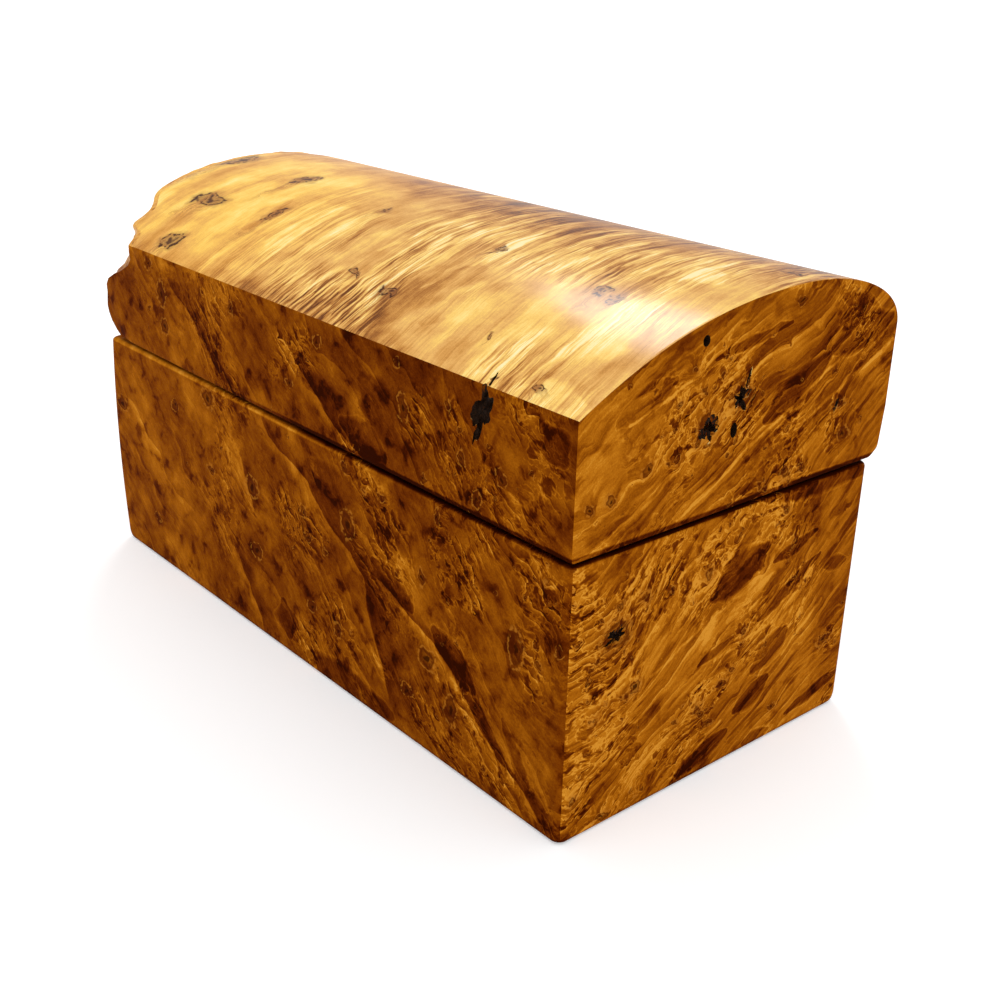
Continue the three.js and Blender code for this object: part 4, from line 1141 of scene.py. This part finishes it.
def dome_knots(colour, place):
    """Adds the knots: brown, with a broken dark outline, and dark tails along the grain."""
    ragged = place.drift(8, 5, 2).drift(2.4, 1.5, 3)
    x, y, _ = ragged.parts()
    nearest = nearest_eye(ragged, DOME_KNOTS, "top")
    longer = [(s, t - 2 * deep, 0.8 * wide, 2.6 * deep) for s, t, wide, deep in DOME_KNOTS]
    tail = nearest_eye(ragged, longer, "top").step(1.4, 0.4)
    fibres = grain((x, y), (0.5, 6), 2)
    colour = (tail * fibres.step(0.42, 0.58) * 0.6).mixed(colour, tone(172, 110, 52))
    colour = (nearest.step(1.8, 0.8) * 0.65).mixed(colour, tone(150, 92, 46))
    broken = place.noise(1.6, 2)
    outline = nearest.step(0.6, 0.9) * nearest.step(1.2, 1.0) * broken.step(0.42, 0.52)
    colour = (outline * 0.95).mixed(colour, tone(62, 26, 10))
    core = (nearest + broken).step(1.1, 0.65)
    return (core * 0.9).mixed(colour, tone(72, 34, 18)), nearest


def honey_dome(name):
    """Top of the lid: pale honey with fine streaks from front to back, tan fields and a few knots."""
    paint = Paint(name)
    place = paint.place.drift(46, 3.5).drift(8, 0.9, 2)
    block = (place.along(STREAK_ACROSS), place.along(STREAK), paint.z)
    tan_fields = grain(block, (10, 45, 60), 2)
    clouds = paint.place.noise(7, 3, 0.6)
    pale_flame = grain(block, (2.4, 26, 28), 2, 0.6).step(0.52, 0.58)
    streaks = grain(block, (0.9, 22, 24), 3, 0.65)
    dark_line = abs(grain(block, (0.8, 34, 34), 1) - 0.5).step(0.035, 0.006)
    fine = grain(block, (0.3, 7, 9), 2, 0.65)
    speckle = paint.place.noise(0.4, 2, 0.65)
    torn = grain(block, (1.1, 11, 11), 2, 0.6)
    rough_zone = abs(paint.y + 41.0).step(11, 4) * abs(paint.x - 10.0).step(24, 10)
    rightward = paint.x.step(-70, 20) * 0.85 + 0.15
    front_side = paint.y.step(8, -14)
    streaky = (grain(block, (22, 40, 40), 1).step(0.38, 0.56) * 0.85 + 0.15) * rightward
    # Darker towards the back of the dome: a tan band, with painted shade where the dome falls away from the
    # light.
    back_tan_and_shade = paint.y.step(6, 28) * (rightward * 0.16 + 0.2)
    # Painted shade along the dome's front edge at the left, softening the turn from the bright top to the
    # darker front.
    front_edge_shade = paint.y.step(-42, -49) * (1 - rightward) * 0.22
    streaks = (streaks - 0.5) * 0.35 + (streaks.step(0.42, 0.56) - 0.5) * 0.26
    shade = (
        (tan_fields - 0.5) * 0.9 + (clouds - 0.5) * 0.5
        + (pale_flame * 0.3 + streaks - dark_line * 0.26 * front_side) * streaky
        + (fine - 0.5) * 0.34 + (speckle - 0.5) * 0.26 + 0.64 - rightward * 0.14 - back_tan_and_shade - front_edge_shade
        + rough_zone * (torn.step(0.52, 0.58) * 0.3 - torn.step(0.47, 0.4) * 0.35)
        + named_bands(paint.place.drift(8, 2.5, 3), DOME_BANDS, "top")
    )
    golden = paint.x.step(0, -50) * 0.8
    colour = shade.ramp(HONEY_STOPS).tinted((1.04, 0.97, 0.66), golden)
    colour, nearest = dome_knots(colour, paint.place)
    relief = (fine * 0.5 + speckle * 0.3 + nearest.step(0.3, 1.0) * 0.8).bump(0.035)
    return paint.finish(
        colour, fine.spread(0.42, 0.32), relief, Specular_IOR_Level=GRAZING_SPECULAR,
        Coat_Weight=0.32, Coat_Roughness=0.17,
    )


def natural_wood(name):
    """The natural edge: rippled wood under the bark, honey above and amber below, with painted shade in its
    folds.
    """
    paint = Paint(name)
    place = paint.place.drift(12, 3, 2).drift(3, 0.8, 2)
    parts = place.parts()
    ridges = grain(parts, (3, 8, 2.6), 4, 0.65)
    ripples = grain(parts, (1.2, 3.2, 0.8), 3, 0.6)
    fine = paint.place.noise(0.6, 3, 0.65)
    shade = ridges * 0.8 + (ripples - 0.5) * 0.4 + (fine - 0.5) * 0.3 + 0.06
    amber = (shade + 0.16).ramp(AMBER_STOPS)
    honey = (shade + 0.1).ramp(HONEY_STOPS).tinted((0.96, 0.86, 0.62))
    height = parts[2] + (ridges - 0.5) * 14
    colour = height.step(SHOULDER_MM - 13, SHOULDER_MM + 2).mixed(amber, honey)
    # Painted shade: darker where the relief's ridges are low, in the folds.
    colour = colour.tinted((0.4, 0.25, 0.15), ridges.step(0.42, 0.3) * 0.5)
    relief = (ridges * 0.6 + ripples * 0.4).bump(1.1)
    return paint.finish(colour, fine.spread(0.6, 0.4), relief, Specular_IOR_Level=0.1)


def bark_material():
    paint = Paint("bark")
    crumb = paint.place.noise(0.5, 4, 0.7)
    colour = crumb.ramp(((0.35, BARK), (0.7, (0.035, 0.014, 0.006))))
    relief = crumb.bump(0.3)
    return paint.finish(colour, crumb.spread(0.5, 0.25), relief, Specular_IOR_Level=0.06)


# Materials of the smaller pieces

def tray_wood():
    """Straight-grained walnut with dark pores, oiled."""
    paint = Paint("tray_wood")
    parts = paint.place.drift(30, 3, 2).parts()
    rings = grain(parts, (90, 2.6, 2.2), 2)
    bands = (rings * 9.0).math("PINGPONG", 1.0)
    pores = grain(parts, (3.5, 0.22, 0.22), 2, 0.6)
    colour = (bands * 0.35 + rings * 0.3 + pores * 0.35).ramp((
        (0.2, (0.055, 0.02, 0.007)), (0.45, (0.15, 0.062, 0.022)), (0.7, (0.27, 0.125, 0.048)),
    ))
    colour = colour.tinted((0.35, 0.25, 0.2), pores.step(0.4, 0.3) * 0.6)
    return paint.finish(colour, pores.spread(0.5, 0.32), pores.bump(0.04), Specular_IOR_Level=0.4)


def brass():
    """Rolled brass, brushed along the hinge, with a faint warm tarnish."""
    paint = Paint("brass")
    brushed = grain((paint.x, paint.y, paint.z), (7, 0.1, 0.1), 2, 0.6)
    tarnish = paint.place.noise(5, 3, 0.55)
    colour = (tarnish * 0.7 + brushed * 0.3).ramp((
        (0.3, (0.62, 0.4, 0.15)), (0.5, (0.8, 0.57, 0.24)), (0.7, (0.87, 0.66, 0.32)),
    ))
    rough = (brushed + tarnish * 0.6).line(0.5, 1.1, 0.2, 0.36)
    return paint.finish(colour, rough, brushed.bump(0.01), Metallic=1.0)


def suede(name, dark, pale):
    paint = Paint(name)
    nap = paint.place.noise(0.28, 3, 0.7)
    brushed = paint.place.drift(20, 5).noise(16, 2, 0.5)
    colour = (nap * 0.55 + brushed * 0.4).ramp(((0.34, dark), (0.62, pale)))
    return paint.finish(
        colour, nap.spread(0.98, 0.86), nap.bump(0.12), Specular_IOR_Level=0.08,
        Sheen_Weight=0.35, Sheen_Roughness=0.45, Sheen_Tint=(0.9, 0.4, 0.38, 1),
    )


def felt():
    paint = Paint("felt")
    hairs = paint.place.drift(1.2, 0.8).noise(0.22, 4, 0.75)
    lumps = paint.place.noise(6, 2)
    stops = ((0.35, (0.03, 0.02, 0.013)), (0.65, (0.085, 0.06, 0.042)))
    colour = (hairs * 0.7 + lumps * 0.3).ramp(stops)
    return paint.finish(colour, hairs.spread(1.0, 0.9), hairs.bump(0.2), Specular_IOR_Level=0.05)


def leather():
    paint = Paint("leather")
    away, _ = paint.place.drift(1, 0.2).cells(0.45)
    colour = away.ramp(((0.0, (0.2, 0.095, 0.042)), (0.35, (0.08, 0.035, 0.015))))
    return paint.finish(colour, away.line(0.0, 0.35, 0.7, 0.5), away.bump(0.06), Specular_IOR_Level=0.3)


def set_material(piece, material):
    piece.data.materials.clear()
    piece.data.materials.append(material)


def finish_cad_node(name, material, bevel=0.0):
    """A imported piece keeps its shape. It gets its material and softened edges."""
    node = frame["nodes"][name]
    set_material(node, material)
    if bevel:
        node.modifiers.new("joined_corners", "WELD").merge_threshold = 0.001 * MM
        edge = node.modifiers.new("soft_edges", "BEVEL")
        edge.width = bevel
        edge.segments = 2
        edge.limit_method = "ANGLE"
        edge.angle_limit = radians(40)


# Which material each face of the wood has

def paint_wood(piece, materials, choose):
    piece.data.materials.clear()
    for material in materials.values():
        piece.data.materials.append(material)
    order = list(materials)
    for face in piece.data.polygons:
        face.material_index = order.index(choose(face.center, face.normal))


SKIN = 0.05 * MM
# How far a face's normal points along an axis, where the face belongs to that side or lies flat on it
FACING = 0.7
FLAT = 0.9
# Boxes in millimetres around the hollows that hold bark
BASE_BARK = (97, -42, 40), (102.1, -28, 54)
FRONT_BARK = (68, -48.4, 80), (80, -42, 100)
END_BARK = (97, -20, 78), (102.1, 6, 108)
SLIT_BARK = (97, 28, 79), (102.1, 36, 88)


def outer_face(centre, normal):
    if normal.x > FACING and centre.x > RIGHT - ARRIS - SKIN:
        return "end"
    if normal.y < -FACING and centre.y < FRONT + ARRIS + SKIN:
        return "front"
    return None


def in_box(place, low, high):
    return all(a * MM < value < b * MM for value, a, b in zip(place, low, high))


def in_cavity(place):
    within = CAVITY_LEFT - RIM_EASE < place.x < CAVITY_RIGHT + RIM_EASE
    return within and CAVITY_FRONT - RIM_EASE < place.y < CAVITY_BACK + RIM_EASE


def base_face(centre, normal):
    named = outer_face(centre, normal)
    if named:
        return named
    if in_cavity(centre):
        return "inside"
    if in_box(centre, *BASE_BARK):
        return "bark"
    return "inside" if normal.z < -FLAT else "front"


def lid_face(centre, normal):
    named = outer_face(centre, normal)
    if named:
        return named
    under_dome = centre.z < dome_height(centre.y) - SKIN
    in_bark = in_box(centre, *FRONT_BARK) or in_box(centre, *END_BARK) and abs(normal.x) < 0.95
    if in_bark and under_dome or in_box(centre, *SLIT_BARK):
        return "bark"
    if centre.z < LID_CEILING + SKIN and in_cavity(centre):
        return "inside"
    rolled = natural_edge(centre.y, centre.z) + EDGE_ROLL + WRINKLE_DEPTH
    if centre.x < LEFT + 25 * MM and centre.x < rolled:
        return "natural"
    if normal.z < -FLAT and centre.z < LID_BOTTOM + SKIN:
        return "inside"
    if normal.z > 0.4 or (normal.z > -0.2 and centre.z > LID_SHOULDER):
        return "dome"
    return "front"


# Assembly of the wood

front_burl = amber_burl(
    "front_burl", "front", 0.5, FRONT_FIGURE, FRONT_EYES, FRONT_BANDS, FRONT_CROWDS, FRONT_EDGES,
)
# The end is a lighter copy of the front's amber: partly its own paler tone, partly painted light, as the
# end faces the light.
end_burl = amber_burl("end_burl", "end", 0.74, END_FIGURE, END_EYES, END_BANDS, END_CROWDS)
# A darker copy of the front's amber for the hollows, the underside and the lid's rim: partly a darker tone
# of its own, partly painted shade that keeps the seam gap dark.
inside_burl = amber_burl("inside_burl", "front", 0.42, FRONT_FIGURE)
dome_burl = honey_dome("dome_burl")
natural = natural_wood("natural_edge")
bark = bark_material()

base_wood = make_base_wood()
paint_wood(base_wood, {
    "front": front_burl, "end": end_burl, "inside": inside_burl, "bark": bark,
}, base_face)
smooth_shading(base_wood)
seat(base_wood, "base", "burl_base", "base_block")

lid_wood = make_lid_wood()
paint_wood(lid_wood, {
    "front": front_burl, "end": end_burl, "inside": inside_burl, "bark": bark,
    "dome": dome_burl, "natural": natural,
}, lid_face)
smooth_shading(lid_wood)
seat(lid_wood, "lid", "burl_lid", "lid_block")

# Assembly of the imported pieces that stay

brass_material = brass()
for node in frame["nodes"]:
    if node.startswith("hinge"):
        finish_cad_node(node, brass_material, bevel=0.12 * MM)
    elif node.startswith("screw"):
        finish_cad_node(node, brass_material, bevel=0.05 * MM)
leather_material = leather()
for side in ("left", "right"):
    finish_cad_node(f"bumper_{side}", leather_material, bevel=0.12 * MM)
tray_material = tray_wood()
finish_cad_node("tray_body", tray_material, bevel=0.4 * MM)
finish_cad_node("tray_divider", tray_material, bevel=0.3 * MM)

# Assembly of the suede and the felt

# How full the top and the underside of a cushion are, where 1 is round and 0 is square
PAD_FORM = (0.5, 0.3)
ROLL_FORM = (1.0, 0.45)
suede_material = suede("suede", (0.055, 0.008, 0.008), (0.17, 0.03, 0.026))
# Each pad's corner radius, form, furthest travel and mesh size are given after its body
soft_pieces = [
    puffed_pad("floor_cushion", "base_floor_pad", "base", 5 * MM, PAD_FORM, 0.9 * MM, 1.1 * MM),
    puffed_pad("lid_cushion", "lid_pad", "lid", 5 * MM, PAD_FORM, 1.2 * MM, 1.2 * MM, crown_up=False),
    puffed_pad("tray_cushion", "tray_pad", "tray", 2 * MM, PAD_FORM, 0.8 * MM, 0.8 * MM),
    wall_band("base_lining", "base_wall_lining", "base"),
    wall_band("lid_lining", "lid_wall_lining", "lid"),
]
for number in range(1, 5):
    node = f"ring_roll_{number}"
    soft_pieces.append(puffed_pad(
        f"suede_roll_{number}", node, "tray", 4 * MM, ROLL_FORM, 1.2 * MM, 1.0 * MM,
    ))
for piece in soft_pieces:
    set_material(piece, suede_material)
set_material(felt_sheet("felt_under_base", "bottom_felt"), felt())


# Studio

def floor_piece(reach=6.0):
    corners = [(-reach, -reach, 0), (reach, -reach, 0), (reach, reach, 0), (-reach, reach, 0)]
    floor = made_object("studio_floor", corners, [(0, 1, 2, 3)])
    set_material(floor, Paint("studio_paper").finish(
        (0.82, 0.82, 0.82), 0.9, Specular_IOR_Level=0.0, Emission_Color=(1, 1, 1, 1), Emission_Strength=0.3,
    ))


def lamp(name, kind, way, power, target=(0, 0, 0), **settings):
    """A lamp that shines on the target from where way leads. A sun lights the whole floor evenly."""
    data = bpy.data.lights.new(name, kind)
    data.energy = power
    for key, value in settings.items():
        setattr(data, key, value)
    made = new_object(name, data)
    made.location = Vector(target) + Vector(way)
    made.rotation_euler = (-Vector(way)).to_track_quat("-Z", "Y").to_euler()


def studio_world(horizon, sky):
    """A white horizon that the floor runs into, and a dimmer sky over it."""
    world = bpy.data.worlds.new("studio")
    world.use_nodes = True
    tree = world.node_tree
    background = tree.nodes["Background"]
    background.inputs["Color"].default_value = (1, 1, 1, 1)
    kinds = ("TexCoord", "SeparateXYZ", "MapRange")
    way, parts, fall = [tree.nodes.new("ShaderNode" + kind) for kind in kinds]
    fall.interpolation_type = "SMOOTHSTEP"
    for key, value in {"From Min": 0.1, "From Max": 0.4, "To Min": horizon, "To Max": sky}.items():
        fall.inputs[key].default_value = value
    tree.links.new(way.outputs["Generated"], parts.inputs[0])
    tree.links.new(parts.outputs["Z"], fall.inputs["Value"])
    tree.links.new(fall.outputs[0], background.inputs["Strength"])
    bpy.context.scene.world = world


# The camera stands where the photograph was taken from
CAMERA_PLACE = Vector((0.267335, -0.210029, 0.177642))
CAMERA_HEADING = radians(49.14)
CAMERA_DOWN = radians(22.92)
CAMERA_ROLL = radians(1.456)
FOCAL_PIXELS = 1322.07
PHOTO_PIXELS = 1000


def place_camera():
    data = bpy.data.cameras.new("camera")
    data.sensor_width = 36
    data.lens = data.sensor_width * FOCAL_PIXELS / PHOTO_PIXELS
    data.clip_start = 0.01
    camera = new_object("camera", data)
    turn = Matrix.Rotation(CAMERA_HEADING, 3, "Z") @ Matrix.Rotation(pi / 2 - CAMERA_DOWN, 3, "X")
    turn = turn @ Matrix.Rotation(CAMERA_ROLL, 3, "Z")
    camera.matrix_world = Matrix.Translation(CAMERA_PLACE) @ turn.to_4x4()
    bpy.context.scene.camera = camera


floor_piece()
studio_world(horizon=1.05, sky=0.5)
lamp("key", "AREA", (-0.85, 0.67, 0.99), 5, (0, 0, 0.06), shape="DISK", size=0.38)
lamp("top", "SUN", (0.1, 0.0, 1.0), 1.25, angle=radians(80))
lamp("side", "SUN", (1.0, -0.45, 0.45), 0.7, angle=radians(60))
lamp("front", "SUN", (-0.1, -1.0, 0.4), 0.25, angle=radians(60))
place_camera()
bpy.context.scene.view_settings.view_transform = "Standard"
